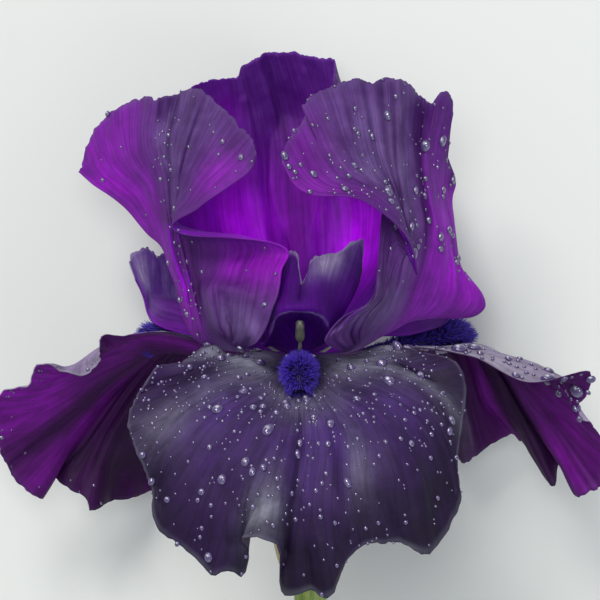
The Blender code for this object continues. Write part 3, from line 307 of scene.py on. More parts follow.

# Where a blade's painted light, painted sheen and painted shade lie: (mask, share across, share along, half
# widths across and along, strength)
TINTS = {
    "fall_front": [
        ("bloom", 0.06, 0.34, 0.12, 0.16, 1.0), ("bloom", 0.02, 0.75, 0.04, 0.2, 0.8),
        ("bloom", 0.22, 0.75, 0.04, 0.3, 0.35), ("bloom", 0.92, 0.36, 0.1, 0.18, 0.9),
        ("bloom", 0.86, 0.75, 0.02, 0.25, 0.7), ("bloom", 0.455, 0.88, 0.025, 0.14, 1.0),
        ("bloom", 0.5, 0.34, 0.2, 0.1, 0.45), ("bloom", 0.99, 0.7, 0.03, 0.25, 0.8),
        ("bloom", 0.63, 0.7, 0.02, 0.2, 0.3), ("dark", 0.6, 1.02, 0.45, 0.2, 0.3),
        ("bloom", 0.16, 0.26, 0.14, 0.1, 0.4), ("bloom", 0.85, 0.27, 0.12, 0.1, 0.4),
        ("dark", 0.14, 0.62, 0.03, 0.2, 0.6), ("dark", 0.895, 0.72, 0.02, 0.3, 0.9),
        ("dark", 0.72, 0.95, 0.14, 0.22, 0.8), ("dark", 0.3, 0.98, 0.09, 0.14, 0.6),
        ("dark", 0.53, 0.97, 0.05, 0.16, 0.8), ("dark", 0.5, 0.7, 0.006, 0.3, 0.6),
        ("dark", 0.425, 0.98, 0.02, 0.08, 0.7), ("glow", 0.3, 0.55, 0.12, 0.2, 0.6),
        ("glow", 0.55, 0.55, 0.1, 0.2, 0.8), ("glow", 0.72, 0.6, 0.1, 0.2, 0.6),
    ],
    "fall_left": [
        ("glow", 0.35, 0.85, 0.16, 0.3, 1.0), ("glow", 0.2, 0.5, 0.12, 0.3, 0.7),
        ("glow", 0.62, 0.8, 0.03, 0.3, 0.5), ("dark", 0.55, 0.75, 0.03, 0.3, 0.8),
        ("dark", 0.68, 0.9, 0.04, 0.2, 0.8), ("dark", 0.8, 0.8, 0.06, 0.4, 0.9),
        ("bloom", 0.02, 0.3, 0.05, 0.3, 0.7),
    ],
    "fall_right": [
        ("glow", 0.25, 0.85, 0.16, 0.25, 0.4), ("glow", 0.44, 0.9, 0.03, 0.2, 0.4),
        ("glow", 0.66, 0.8, 0.04, 0.25, 0.6), ("dark", 0.52, 0.85, 0.04, 0.3, 0.9),
        ("dark", 0.6, 0.7, 0.06, 0.4, 0.7), ("dark", 0.88, 0.7, 0.06, 0.4, 0.8),
        ("bloom", 0.81, 0.8, 0.025, 0.25, 0.9), ("bloom", 0.02, 0.3, 0.06, 0.35, 0.8),
    ],
    "standard_left": [
        ("glow", 0.1, 0.85, 0.22, 0.35, 0.9), ("glow", 0.9, 0.8, 0.1, 0.1, 0.6),
        ("glow", 0.95, 0.5, 0.2, 0.07, 0.9), ("glow", 0.3, 0.4, 0.25, 0.15, 0.7),
        ("bloom", 0.5, 0.85, 0.09, 0.3, 0.6), ("bloom", 0.68, 0.85, 0.14, 0.25, 0.5),
        ("bloom", 0.9, 0.34, 0.14, 0.06, 0.8), ("dark", 0.66, 0.42, 0.05, 0.12, 0.8),
        ("dark", 0.52, 0.9, 0.015, 0.2, 0.7), ("dark", 0.62, 0.95, 0.03, 0.1, 0.5),
    ],
    "standard_right": [
        ("glow", 0.05, 0.9, 0.14, 0.12, 0.7), ("glow", 0.9, 0.6, 0.2, 0.25, 1.0),
        ("glow", 0.7, 0.4, 0.12, 0.2, 0.5), ("bloom", 0.35, 0.85, 0.16, 0.2, 0.8),
        ("bloom", 0.55, 0.8, 0.1, 0.3, 0.6), ("bloom", 0.1, 0.4, 0.14, 0.12, 0.5),
        ("dark", 0.66, 0.7, 0.025, 0.3, 0.7), ("dark", 0.45, 0.9, 0.015, 0.2, 0.4),
        ("bloom", 0.4, 0.37, 0.22, 0.1, 0.9),
    ],
    "standard_back": [
        ("glow", 0.25, 0.53, 0.14, 0.14, 1.0), ("glow", 0.73, 0.5, 0.11, 0.14, 1.0),
        ("glow", 0.48, 0.5, 0.1, 0.2, 0.35), ("glow", 0.2, 0.8, 0.1, 0.15, 0.5),
        ("glow", 0.6, 0.75, 0.2, 0.2, 0.3), ("dark", 0.45, 0.75, 0.02, 0.3, 0.5),
        ("dark", 0.33, 0.85, 0.04, 0.1, 0.3), ("bloom", 0.5, 0.93, 0.5, 0.14, 0.7),
        ("dark", 0.47, 0.35, 0.1, 0.1, 0.4), ("dark", 0.5, 0.55, 0.04, 0.25, 0.45),
    ],
    "style_front": [
        ("bloom", 0.75, 0.96, 0.12, 0.08, 0.8), ("bloom", 0.5, 0.655, 0.4, 0.006, 0.9),
        ("dark", 0.5, 0.9, 0.06, 0.15, 0.6), ("glow", 0.2, 0.85, 0.12, 0.15, 0.5),
    ],
    "style_left": [
        ("bloom", 0.3, 0.85, 0.3, 0.2, 1.0), ("bloom", 0.8, 0.85, 0.14, 0.15, 1.0),
        ("glow", 0.5, 0.6, 0.4, 0.15, 0.8), ("glow", 1.0, 0.75, 0.08, 0.2, 1.0),
    ],
    "style_right": [
        ("bloom", 0.3, 0.85, 0.3, 0.2, 0.8), ("bloom", 0.8, 0.9, 0.2, 0.15, 0.7),
        ("glow", 0.5, 0.6, 0.4, 0.15, 0.8),
    ],
}

# Low folds inside a blade: (share across and along at one end, the same at the other end, width in shares,
# height in millimetres)
CREASES = {
    "standard_left": [
        (0.8, 0.505, 1.0, 0.505, 0.018, -2.4), (0.78, 0.44, 0.98, 0.395, 0.016, 2.25),
        (0.79, 0.43, 0.8, 0.29, 0.016, 2.4), (0.85, 0.40, 0.89, 0.30, 0.016, -2.1),
        (0.92, 0.37, 1.0, 0.32, 0.014, 1.8), (0.95, 0.33, 1.0, 0.28, 0.014, -1.5),
        (0.55, 0.62, 0.52, 0.98, 0.02, -1.35), (0.62, 0.7, 0.64, 0.98, 0.02, 1.2),
        (0.3, 0.6, 0.22, 0.95, 0.03, 1.05), (0.4, 0.3, 0.38, 0.6, 0.03, 1.05),
        (0.58, 0.3, 0.58, 0.55, 0.025, -1.35),
    ],
    "standard_right": [
        (0.06, 0.52, 0.1, 0.24, 0.02, 2.1), (0.16, 0.55, 0.2, 0.24, 0.02, -2.25),
        (0.28, 0.5, 0.3, 0.26, 0.022, 1.8), (0.0, 0.46, 0.12, 0.40, 0.016, -1.5),
        (0.02, 0.3, 0.16, 0.33, 0.016, 1.8), (0.4, 0.6, 0.4, 0.97, 0.02, -1.35),
        (0.5, 0.62, 0.52, 0.97, 0.02, 1.2), (0.7, 0.6, 0.68, 0.97, 0.02, -1.5),
        (0.78, 0.35, 0.8, 0.7, 0.03, 1.35), (0.2, 0.75, 0.25, 0.97, 0.025, 1.05),
        (0.9, 0.4, 0.9, 0.7, 0.03, -1.2),
    ],
    "standard_back": [
        (0.36, 0.35, 0.3, 0.9, 0.02, 1.5), (0.44, 0.4, 0.44, 0.98, 0.015, -1.8),
        (0.56, 0.4, 0.6, 0.95, 0.02, 1.5), (0.7, 0.35, 0.68, 0.9, 0.025, -1.5),
        (0.2, 0.4, 0.16, 0.8, 0.03, -1.35), (0.84, 0.4, 0.86, 0.8, 0.03, 1.2),
    ],
    "fall_front": [
        (0.5, 0.3, 0.5, 0.9, 0.008, -1.05), (0.46, 0.35, 0.42, 0.9, 0.012, 0.9),
        (0.55, 0.35, 0.6, 0.9, 0.012, 0.75), (0.36, 0.4, 0.3, 0.95, 0.015, -0.9),
        (0.7, 0.4, 0.76, 0.95, 0.016, -1.05), (0.93, 0.4, 0.96, 0.9, 0.012, 1.2),
    ],
    "style_front": [(0.5, 0.1, 0.5, 0.62, 0.05, -0.9), (0.5, 0.72, 0.5, 0.95, 0.03, -1.2)],
}

# Noise on a petal's own map: lines across it, how often they change along it, and their detail
STREAKS = {"Streaks": (1.0, 3.0, 4.0), "Mottle": (0.14, 7.0, 5.0), "Veins": (0.5, 2.2, 2.0)}
FUR_SCALE = 1900.0
RIM_START = 0.975  # share along a petal where the painted highlight along its margin begins

# Each petal look: ground, its own colour; glow, the colour of painted daylight coming through it; bloom, the
# colour of painted velvet sheen; deep, the colour of painted shade; rim, how strong a painted highlight runs
# along its margin
PETAL_LOOKS = {
    "fall_top": dict(
        name="fall velvet", seed=3.0, fineness=90.0, sheen=0.06, rim=0.3, through=0.02, lit=(0.1, 0.04, 0.3),
        ground=(0.026, 0.009, 0.055), glow=(0.052, 0.018, 0.135), bloom=(0.22, 0.225, 0.28),
        deep=(0.007, 0.003, 0.015)),
    "fall_under": dict(
        name="fall underside", seed=8.0, fineness=70.0, sheen=0.02, rim=0.15, through=0.15,
        ground=(0.050, 0.003, 0.076), glow=(0.26, 0.004, 0.40), bloom=(0.12, 0.09, 0.16),
        deep=(0.009, 0.002, 0.014)),
    # The side falls' top side: its pale grey-lavender colours are painted sheen and painted wet highlights
    # where light falls on it
    "haft_top": dict(
        name="side fall top", seed=12.0, fineness=60.0, sheen=0.2, rim=0.6, through=0.1, lit=(0.5, 0.4, 0.6),
        ground=(0.24, 0.20, 0.29), glow=(0.26, 0.18, 0.36), bloom=(0.50, 0.48, 0.52),
        deep=(0.10, 0.07, 0.16)),
    "standard_outer": dict(
        name="standard outside", seed=17.0, fineness=80.0, sheen=0.06, rim=0.4,
        ground=(0.090, 0.020, 0.165), glow=(0.33, 0.008, 0.50), bloom=(0.15, 0.10, 0.24),
        deep=(0.016, 0.003, 0.034)),
    # alight gives the glow places of the standards' inside a painted glow: emission that stands in for
    # daylight coming through
    "standard_inner": dict(
        name="standard inside", seed=23.0, fineness=80.0, sheen=0.0, rim=0.2, through=0.4,
        lit=(0.60, 0.01, 1.0), alight=0.18,
        ground=(0.15, 0.010, 0.34), glow=(0.55, 0.003, 0.92), bloom=(0.20, 0.09, 0.33),
        deep=(0.020, 0.002, 0.05)),
    "style": dict(
        name="style arm", seed=31.0, fineness=50.0, sheen=0.02, rim=1.0, through=0.5, lit=(0.45, 0.02, 0.85),
        ground=(0.085, 0.003, 0.20), glow=(0.24, 0.008, 0.42), bloom=(0.44, 0.40, 0.50),
        deep=(0.02, 0.003, 0.06)),
}

# Name, dark and light colour, roughness, stretch along the stem, scale and height of the grain
GROWN_LOOKS = {
    "green": ("stem green", (0.15, 0.24, 0.035), (0.34, 0.44, 0.10), 0.45, 0.12, 900.0, 0.0001),
    "papery": ("papery spathe", (0.30, 0.22, 0.09), (0.62, 0.52, 0.30), 0.6, 0.08, 1300.0, 0.0002),
    "pollen": ("anther", (0.30, 0.30, 0.22), (0.62, 0.62, 0.50), 0.75, 1, 2500.0, 0.0003),
}

# Camera: its height over the flower and the width of its frame, in metres, and its sensor's in millimetres
CAMERA_DISTANCE = 1.6
FRAME_WIDTH = 0.150
SENSOR_WIDTH = 36
FRAME_MIDDLE = 15.0  # from the heart towards the standards, in millimetres

# Lamps: name, place and size in metres, power in watts and colour
LAMPS = (
    ("key", (-0.45, 0.95, 1.15), 0.6, 14, (1.0, 0.98, 0.95)),
    ("fill", (0.9, -0.5, 0.8), 0.9, 3.5, (0.92, 0.95, 1.0)),
    ("front", (-0.1, 0.25, 1.75), 0.5, 7, (1.0, 1.0, 1.0)),
)


def smooth_through(shares, values, at):
    """The smooth line through values, one for each share, read at many shares at once."""
    shares, values, at = np.array(shares, float), np.array(values, float), np.atleast_1d(np.array(at, float))
    shape = (-1,) + (1,) * (values.ndim - 1)
    span = np.diff(shares).reshape(shape)
    step = np.diff(values, axis=0) / span
    inner = (step[:-1] * span[1:] + step[1:] * span[:-1]) / (span[1:] + span[:-1])
    slope = np.concatenate([step[:1], inner, step[-1:]])
    k = np.clip(np.searchsorted(shares, at) - 1, 0, len(shares) - 2)
    t = ((at - shares[k]) / (shares[k + 1] - shares[k])).reshape(shape)
    return (
        values[k] * (2 * t**3 - 3 * t**2 + 1)
        + slope[k] * span[k] * (t**3 - 2 * t**2 + t)
        + values[k + 1] * (3 * t**2 - 2 * t**3)
        + slope[k + 1] * span[k] * (t**3 - t**2)
    )


def line_point(points, share):
    """The point at share along the smooth line through points, each (share, x, y, z)."""
    return Vector(smooth_through([point[0] for point in points], [point[1:] for point in points], share)[0])


def blade_points(rows, acrosses, alongs):
    """A blade's middle surface, as an array of points by share along and share across."""
    crossed = []
    for _, points in rows:
        stations = [point[0] for point in points]
        crossed.append(smooth_through(stations, [point[1:] for point in points], acrosses))
    return smooth_through([share for share, _ in rows], crossed, alongs)


def blade_point(rows, across, along):
    """One point of a blade's middle surface."""
    return Vector(blade_points(rows, [across], [along])[0][0])


def smooth_step(start, end, value):
    """0 before start, 1 after end, and a smooth rise between them."""
    share = np.clip((value - start) / (end - start), 0.0, 1.0)
    return share * share * (3 - 2 * share)


# Pieces


def add_piece(name, mesh, finishes):
    """A smooth object in the scene, with its finishes."""
    for finish in finishes:
        mesh.materials.append(finish)
    mesh.shade_smooth()
    piece = bpy.data.objects.new(name, mesh)
    bpy.context.scene.collection.objects.link(piece)
    return piece


def bloom_piece(name, mesh, finishes):
    """A piece of the bloom, which rides on the bloom's one body."""
    piece = add_piece(name, mesh, finishes)
    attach(piece, "root")
    return piece


def finish_mesh(built, name):
    """The bmesh as a mesh of the bloom, moved from the heart's frame to the floor's."""
    bmesh.ops.scale(built, verts=built.verts[:], vec=(MM, MM, MM))
    bmesh.ops.translate(built, verts=built.verts[:], vec=HEART * MM)
    mesh = bpy.data.meshes.new(name)
    built.to_mesh(mesh)
    built.free()
    return mesh


def gather(name, handfuls, finish):
    """One piece from several small meshes: a few shapes at a time are quicker to make than thousands."""
    pieces = [add_piece(name, finish_mesh(handful, name), [finish]) for handful in handfuls]
    with bpy.context.temp_override(
        active_object=pieces[0], object=pieces[0], selected_objects=pieces, selected_editable_objects=pieces
    ):
        bpy.ops.object.join()
    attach(pieces[0], "root")
    return pieces[0]


# Petals and style arms


def fold_heights(folds, across, along):
    """How far the folds push these places to the front: nothing at the claw, all of it near the margin."""
    total = sum(height * np.exp(-(((across - at) / width) ** 2)) for at, width, height in folds)
    return smooth_step(0.25, 0.7, along) * total


def crease_heights(creases, across, along):
    """How far a blade's low folds raise these places of it."""
    total = np.zeros_like(across)
    for start_across, start_along, end_across, end_along, width, height in creases:
        way = np.array([end_across - start_across, end_along - start_along])
        off = np.stack([across - start_across, along - start_along], axis=-1)
        share = np.clip(off @ way / (way @ way), 0, 1)
        distance = np.linalg.norm(off - share[..., None] * way, axis=-1)
        total += height * np.exp(-((distance / width) ** 2)) * smooth_step(0, 0.3, share + 0.05)
    return total


def tint(name, mask, across, along):
    """How strongly a mask colours these places of a blade."""
    total = np.zeros_like(across)
    for kind, at_across, at_along, half_across, half_along, strength in TINTS.get(name, ()):
        if kind == mask:
            off = ((across - at_across) / half_across) ** 2 + ((along - at_along) / half_along) ** 2
            total += strength * np.exp(-off)
    return np.clip(total, 0.0, 1.0)


def grain(*axes):
    """Smooth noise at each of these places, from about -1 to 1."""
    places = zip(*(np.broadcast_to(axis, axes[0].shape) for axis in axes))
    return np.array([noise.noise(place) for place in places])


def relief(kind, across, along, width, seed):
    """Long low swellings of one kind, in millimetres, at these places of a blade."""
    by_width, by_length, place, height = RELIEF[kind]
    swellings = grain(across.ravel() * width * by_width, along.ravel() * by_length, seed + place)
    return height * swellings.reshape(across.shape)


def tooth_margin(surface, distances, seed, depth):
    """Moves a blade's margin in and out by small teeth. distances run along the margin, in millimetres."""
    inward = surface[-4] - surface[-1]
    inward /= np.maximum(np.linalg.norm(inward, axis=1, keepdims=True), 1e-9)
    nick = grain(distances * 0.45, seed, 0.0) + 0.8 * grain(distances * 1.1, seed, 4.0)
    surface[-1] += inward * (np.maximum(nick, -0.3) * depth)[:, None]


def normals_of(surface):
    """The surface's normals, by row and column."""
    across, along = np.gradient(surface, axis=1), np.gradient(surface, axis=0)
    normals = np.cross(across, along)
    return normals / np.maximum(np.linalg.norm(normals, axis=2, keepdims=True), 1e-9)


def blade_surface(node, rows, across, along, ruffle, tooth):
    """A blade's middle surface, by row and column, with its folds, its relief and its toothed margin."""
    seed = sum(map(ord, node)) % 97
    surface = blade_points(rows, across[0], along[:, 0])
    surface[:, :, 2] += fold_heights(FOLDS.get(node, ()), across, along)
    surface[:, :, 2] += crease_heights(CREASES.get(node, ()), across, along)
    width = np.linalg.norm(np.diff(surface[-1], axis=0), axis=1).sum()
    tooth_margin(surface, across[-1] * width, seed, tooth)
    wave, vein, rib = (relief(kind, across, along, width, seed) for kind in ("wave", "vein", "rib"))
    swell = SWELL_HEIGHT * grain(*(surface.reshape(-1, 3).T / SWELL_LENGTH + seed)).reshape(across.shape)
    lift = wave * ruffle * smooth_step(0.72, 1.0, along) + swell * smooth_step(0.15, 0.4, along)
    lift += (vein + rib) * smooth_step(0.1, 0.3, along)
    surface += normals_of(surface) * lift[:, :, None]
    surface[:, :, 2] = np.maximum(surface[:, :, 2], PETAL_THICKNESS / 2 - AXIS_HEIGHT)
    return surface


def plain_grid(name, cells_across, cells_along):
    """A flat mesh of cells with a UV map, and each point's column and row."""
    built = bmesh.new()
    built.loops.layers.uv.new("petal")
    bmesh.ops.create_grid(built, x_segments=cells_across, y_segments=cells_along, size=0.5, calc_uvs=True)
    mesh = bpy.data.meshes.new(name)
    built.to_mesh(mesh)
    built.free()
    flat = np.empty(len(mesh.vertices) * 3)
    mesh.vertices.foreach_get("co", flat)
    columns = np.rint((flat[0::3] + 0.5) * cells_across).astype(int)
    rows = np.rint((flat[1::3] + 0.5) * cells_along).astype(int)
    return mesh, columns, rows


def add_thickness(piece, shares):
    """Gives a blade its wall, as thick as the shares say, with its second finish on the second side."""
    group = piece.vertex_groups.new(name="full thickness")
    for index, share in enumerate(shares):
        group.add((index,), float(share), "REPLACE")
    wall = piece.modifiers.new("thickness", "SOLIDIFY")
    wall.thickness = PETAL_THICKNESS * MM
    wall.offset = 0
    wall.vertex_group = group.name
    wall.thickness_vertex_group = EDGE_SHARE
    wall.material_offset = 1


def blade(node, rows, kind, finishes, turn=0.0):
    """A petal or a style arm in fine cells, with masks for its painted light, painted sheen and painted
    shade, and a finish for each side.

    Returns the piece and its middle surface, as points and normals by row and column.
    """
    cells_across, cells_along = GRAIN[kind]
    across, along = np.meshgrid(np.linspace(0, 1, cells_across + 1), np.linspace(0, 1, cells_along + 1))
    surface = blade_surface(node, rows, across, along, *MARGINS[kind])
    surface = surface @ np.array(Matrix.Rotation(turn, 3, "Y")).T
    mesh, columns, lengths = plain_grid(node, cells_across, cells_along)
    mesh.vertices.foreach_set("co", ((surface[lengths, columns] + np.array(HEART)) * MM).ravel())
    for mask in MASKS:
        layer = mesh.attributes.new(mask, "FLOAT", "POINT")
        layer.data.foreach_set("value", tint(node, mask, across, along)[lengths, columns])
    piece = bloom_piece("petal_" + node, mesh, finishes)
    full = smooth_step(1.0, THIN_END, along) * smooth_step(0, THIN_SIDE, np.minimum(across, 1 - across))
    add_thickness(piece, full[lengths, columns])
    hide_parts(node)
    return piece, (surface, normals_of(surface))


# Beards, stamens, stem and spathes


def round_length(built, line, radii, rings, sides, wobble=None):
    """Fills an empty bmesh with a closed round length along a line."""
    bmesh.ops.create_cone(built, cap_ends=True, cap_tris=True, segments=sides, radius1=1, radius2=1, depth=1)
    long_edges = [edge for edge in built.edges if abs(edge.verts[0].co.z - edge.verts[1].co.z) > 0.5]
    bmesh.ops.subdivide_edges(built, edges=long_edges, cuts=rings - 1)
    middles, leans, sizes = {}, {}, {}
    for vertex in built.verts:
        share = min(max(vertex.co.z + 0.5, 0.0), 1.0)
        ring = round(share * rings)
        if ring not in middles:
            ahead = line_point(line, min(share + 0.01, 1.0)) - line_point(line, max(share - 0.01, 0.0))
            leans[ring] = Vector((0, 0, 1)).rotation_difference(ahead.normalized())
            middles[ring] = line_point(line, share)
            sizes[ring] = line_point([(at, radius, 0, 0) for at, radius in radii], share).x
        out = Vector((vertex.co.x, vertex.co.y, 0)) * sizes[ring]
        if wobble:
            out *= wobble(share, math.atan2(vertex.co.y, vertex.co.x))
        vertex.co = middles[ring] + leans[ring] @ out


def beard_radius(share):
    """The beard's radius: thin in the throat, widest near its front end, round at that end."""
    if share < BEARD_WIDEST:
        return THROAT_RADIUS + (BEARD_RADIUS - THROAT_RADIUS) * share / BEARD_WIDEST
    return BEARD_RADIUS * math.sqrt(max(1 - ((share - BEARD_WIDEST) / 0.29) ** 2, 0.0))


def beard_line(side, rows):
    """The beard's middle line, a little over the fall's midrib."""
    start, end = BEARD_SPANS[side]
    line = []
    for k in range(BEARD_RINGS + 1):
        share = k / BEARD_RINGS
        along = start + (end - start) * share
        point = blade_point(rows, 0.5, along)
        ahead = blade_point(rows, 0.5, along + 0.01) - point
        beside = blade_point(rows, 0.54, along) - point
        up = ahead.cross(beside).normalized()
        if up.y < 0:
            up = -up
        line.append((share, *(point + up * (beard_radius(share) * 0.86 + 0.3))))
    return line


def beard(side, rows, finish):
    """A pad on the fall's midrib, and the short stiff hairs that stand all over it."""
    line = beard_line(side, rows)
    pad = bmesh.new()
    pad.verts.layers.float.new("tip")
    radii = [(share, beard_radius(share) * PAD_SHARE) for share, *_ in line]
    round_length(pad, line, radii, BEARD_RINGS, 16)
    handfuls = [pad]
    chance = random.Random(len(side) * 7)
    stops = 200
    middles = [line_point(line, k / stops) for k in range(stops + 1)]
    grown = 0
    while grown < HAIRS[side]:
        share = chance.random() ** 0.75
        angle = chance.uniform(0, 2 * math.pi)
        k = min(max(round(share * stops), 1), stops - 1)
        ahead = (middles[k + 1] - middles[k - 1]).normalized()
        lean = Vector((0, 0, 1)).rotation_difference(ahead)
        out = lean @ Vector((math.cos(angle), math.sin(angle), 0))
        if out.y < -0.35 and share < 0.85:
            continue
        if grown % HAIRS_IN_HAND == 0:
            handfuls.append(bmesh.new())
            tip = handfuls[-1].verts.layers.float.new("tip")
        grown += 1
        radius = beard_radius(share)
        slope = smooth_step(0.6, 1.0, share) * 1.3 + 0.25
        root = middles[k] + out * radius * 0.55
        way = (out + ahead * slope + Vector([chance.gauss(0, 0.16) for _ in range(3)])).normalized()
        long = radius * 0.45 + chance.uniform(0.3, 1.7)
        bright = chance.uniform(0.15, 1.0)
        turn = way.to_track_quat("Z", "Y").to_matrix().to_4x4()
        made = bmesh.ops.create_cone(
            handfuls[-1], cap_ends=True, segments=3, radius1=chance.uniform(0.13, 0.2), radius2=0.04,
            depth=long, matrix=Matrix.Translation(root + way * long / 2) @ turn,
        )["verts"]
        for vertex in made:
            vertex[tip] = bright if (vertex.co - root).dot(way) > long / 2 else 0.0
    piece = gather("beard_hairs_" + side, handfuls, finish)
    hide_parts("beard_" + side)


def groove(share, angle):
    """How an anther's outline narrows along its grooves."""
    return 1 - 0.28 * (share > 0.45) * math.cos(angle * 2) ** 8


def ribs(share, angle):
    """How the ovary's outline swells in three soft ribs."""
    return 1 + 0.05 * math.cos(angle * 3) * smooth_step(0.3, 0.6, share)


def stamen(side, finish, turn):
    """A filament and its long grooved anther."""
    built = bmesh.new()
    round_length(built, STAMEN_LINE, STAMEN_RADII, 40, 20, groove)
    bmesh.ops.rotate(built, verts=built.verts[:], cent=(0, 0, 0), matrix=Matrix.Rotation(turn, 3, "Y"))
    piece = bloom_piece("anther_" + side, finish_mesh(built, "anther_" + side), [finish])
    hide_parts("stamen_" + side)


def green_length(name, node, line, radii, rings, finish, wobble=None):
    """The stem, or the tube with its ovary. Where the stem touches the floor, it lies flat on it."""
    built = bmesh.new()
    round_length(built, line, radii, rings, 36, wobble)
    for vertex in built.verts:
        vertex.co.z = max(vertex.co.z, -AXIS_HEIGHT)
    piece = bloom_piece(name, finish_mesh(built, name), [finish])
    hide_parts(node)


def stem_middle(y):
    """The middle of the tube or the stem at this height."""
    line = TUBE_LINE if y > TUBE_END else STEM_LINE
    low, high = 0.0, 1.0
    for _ in range(20):
        share = (low + high) / 2
        if line_point(line, share).y > y:
            low = share
        else:
            high = share
    return line_point(line, share)


def spathe(node, finish, turn, long, lean):
    """A papery valve that wraps the ovary from the stem's top joint."""
    cells_across, cells_along = GRAIN["spathe"]
    profile = [(at, half, away, 0) for at, half, away in SPATHE_ROWS]
    built = bmesh.new()
    bmesh.ops.create_grid(built, x_segments=cells_across, y_segments=cells_along, size=0.5)
    middles = {}
    for vertex in built.verts:
        across, along = vertex.co.x + 0.5, vertex.co.y + 0.5
        half, away = line_point(profile, along).xy
        angle = turn + math.radians(half) * (2 * across - 1)
        y = SPATHE_BASE + long * along
        row = round(along * cells_along)
        if row not in middles:
            middles[row] = stem_middle(y)
        away += lean * along**2
        away += 0.25 * noise.noise((across * 40, along * 2, turn))
        away += 0.5 * noise.noise((across * 4, along * 5, turn + 3))
        middle = middles[row]
        vertex.co = Vector((middle.x + away * math.sin(angle), y, middle.z + away * math.cos(angle)))
    piece = bloom_piece("papery_" + node, finish_mesh(built, node), [finish])
    wall = piece.modifiers.new("thickness", "SOLIDIFY")
    wall.thickness = SPATHE_THICKNESS * MM
    wall.offset = 0
    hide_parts(node)


# Raindrops


def wet_front(across, along):
    """Where drops lie on the front fall: all over its face, and few near the throat."""
    return smooth_step(0.2, 0.45, along)


def wet_end(across, along):
    """Where drops lie on the left fall: along its far margin."""
    return smooth_step(0.86, 1.0, along)


def wet_shoulder(across, along):
    """Where drops lie on the right fall: along its upper edge."""
    return smooth_step(0.28, 0.1, across) * smooth_step(0.2, 0.4, along)


def wet_midrib(across, along):
    """Where drops lie on the left standard: along its midrib and its far edge, with a few between."""
    rib = math.exp(-(((across - 0.5) / 0.1) ** 2)) * smooth_step(0.2, 0.4, along)
    return 0.15 + rib + 0.8 * smooth_step(0.95, 1.0, across)


def wet_rim(across, along):
    """Where drops lie on the right standard: towards its tip, most of all on the near edge."""
    return smooth_step(0.45, 0.7, along) * (0.35 + smooth_step(0.06, 0.0, across))


def add_drop(handful, painted_highlight, point, normal, down, radius, stretch, turn):
    """One drop on a petal, longest down the petal, with its two lights painted on it."""
    down = (down - normal * down.dot(normal)).normalized()
    lean = Matrix((down.cross(normal), down, normal)).transposed().to_4x4()
    size = Matrix.Diagonal((radius, radius * stretch, radius * 0.62, 1))
    middle = point + normal * (PETAL_THICKNESS / 2 + radius * 0.12)
    place = Matrix.Translation(middle) @ lean @ Matrix.Rotation(turn, 4, "Z") @ size
    made = bmesh.ops.create_uvsphere(handful, u_segments=10, v_segments=7, radius=1, matrix=place)
    for vertex in made["verts"]:
        # Painted highlight: a bright spot on the drop's side towards the standards and a fainter crescent of
        # light on its other side
        off = (vertex.co - middle) / radius
        spot = math.exp(-((off.x + 0.2) ** 2 + (off.y - 0.42) ** 2) / 0.05)
        crescent = 0.3 * math.exp(-((off.x - 0.15) ** 2 + (off.y + 0.75) ** 2) / 0.12)
        vertex[painted_highlight] = max(spot, crescent) if off.dot(normal) > 0 else 0.0


def rain(name, surface, finish, count, sizes, wet, seed):
    """Raindrops on a petal: wet(across, along) gives how likely a drop is to stay there."""
    chance = random.Random(seed)
    points, normals = surface
    lengths, columns = points.shape[0] - 1, points.shape[1] - 1
    handfuls = []
    kept = np.zeros((0, 4))
    for _ in range(count * TRIES_PER_DROP):
        if len(kept) >= count:
            break
        i, j = chance.randint(2, columns - 2), chance.randint(2, lengths)
        if chance.random() > wet(i / columns, j / lengths):
            continue
        point, normal = Vector(points[j, i]), Vector(normals[j, i])
        if normal.z < 0:
            normal = -normal
        if normal.z < STEEPEST_WET:
            continue
        radius = chance.choices(sizes, DROP_SHARES[: len(sizes)])[0] * chance.uniform(0.8, 1.2)
        if (np.linalg.norm(kept[:, :3] - np.array(point), axis=1) < kept[:, 3] + radius).any():
            continue
        if len(kept) % DROPS_IN_HAND == 0:
            handfuls.append(bmesh.new())
            painted_highlight = handfuls[-1].verts.layers.float.new("painted_highlight")
        kept = np.vstack([kept, [*point, radius]])
        stretch = chance.uniform(1.0, 1.25) if radius < 0.8 else chance.uniform(1.0, 1.6)
        down = Vector(points[j, i] - points[j - 2, i])
        add_drop(handfuls[-1], painted_highlight, point, normal, down, radius, stretch, chance.uniform(-0.5, 0.5))
    piece = gather("rain_" + name, handfuls, finish)


# Shader nodes


def feed(tree, socket, value):
    """Gives a socket a number, a colour or another node's output."""
    if isinstance(value, (int, float)):
        socket.default_value = value
    elif isinstance(value, tuple):
        socket.default_value = (*value, 1)
    else:
        tree.links.new(value, socket)


def math_node(tree, operation, *values, clamp=False):
    """A math node on sockets or numbers. Returns its output."""
    node = tree.nodes.new("ShaderNodeMath")
    node.operation = operation
    node.use_clamp = clamp
    for socket, value in zip(node.inputs, values):
        feed(tree, socket, value)
    return node.outputs[0]


def scaled(tree, value, factor, offset):
    """value * factor + offset, in a shader."""
    return math_node(tree, "MULTIPLY_ADD", value, factor, offset)


def spread(tree, value, low, factor):
    """(value - low) * factor, kept between 0 and 1: it widens the narrow range that noise has."""
    return math_node(tree, "MULTIPLY", math_node(tree, "SUBTRACT", value, low), factor, clamp=True)


def mix_colour(tree, share, first, second, blend="MIX"):
    """A mix of two colours, each a socket or a value. Returns its output."""
    node = tree.nodes.new("ShaderNodeMix")
    node.data_type = "RGBA"
    node.blend_type = blend
    for socket, value in zip((node.inputs[0], node.inputs[6], node.inputs[7]), (share, first, second)):
        feed(tree, socket, value)
    return node.outputs[2]


def painted(tree, mask):
    """The strength of a mask that is painted on the piece."""
    reader = tree.nodes.new("ShaderNodeAttribute")
    reader.attribute_name = mask
    return reader.outputs["Fac"]


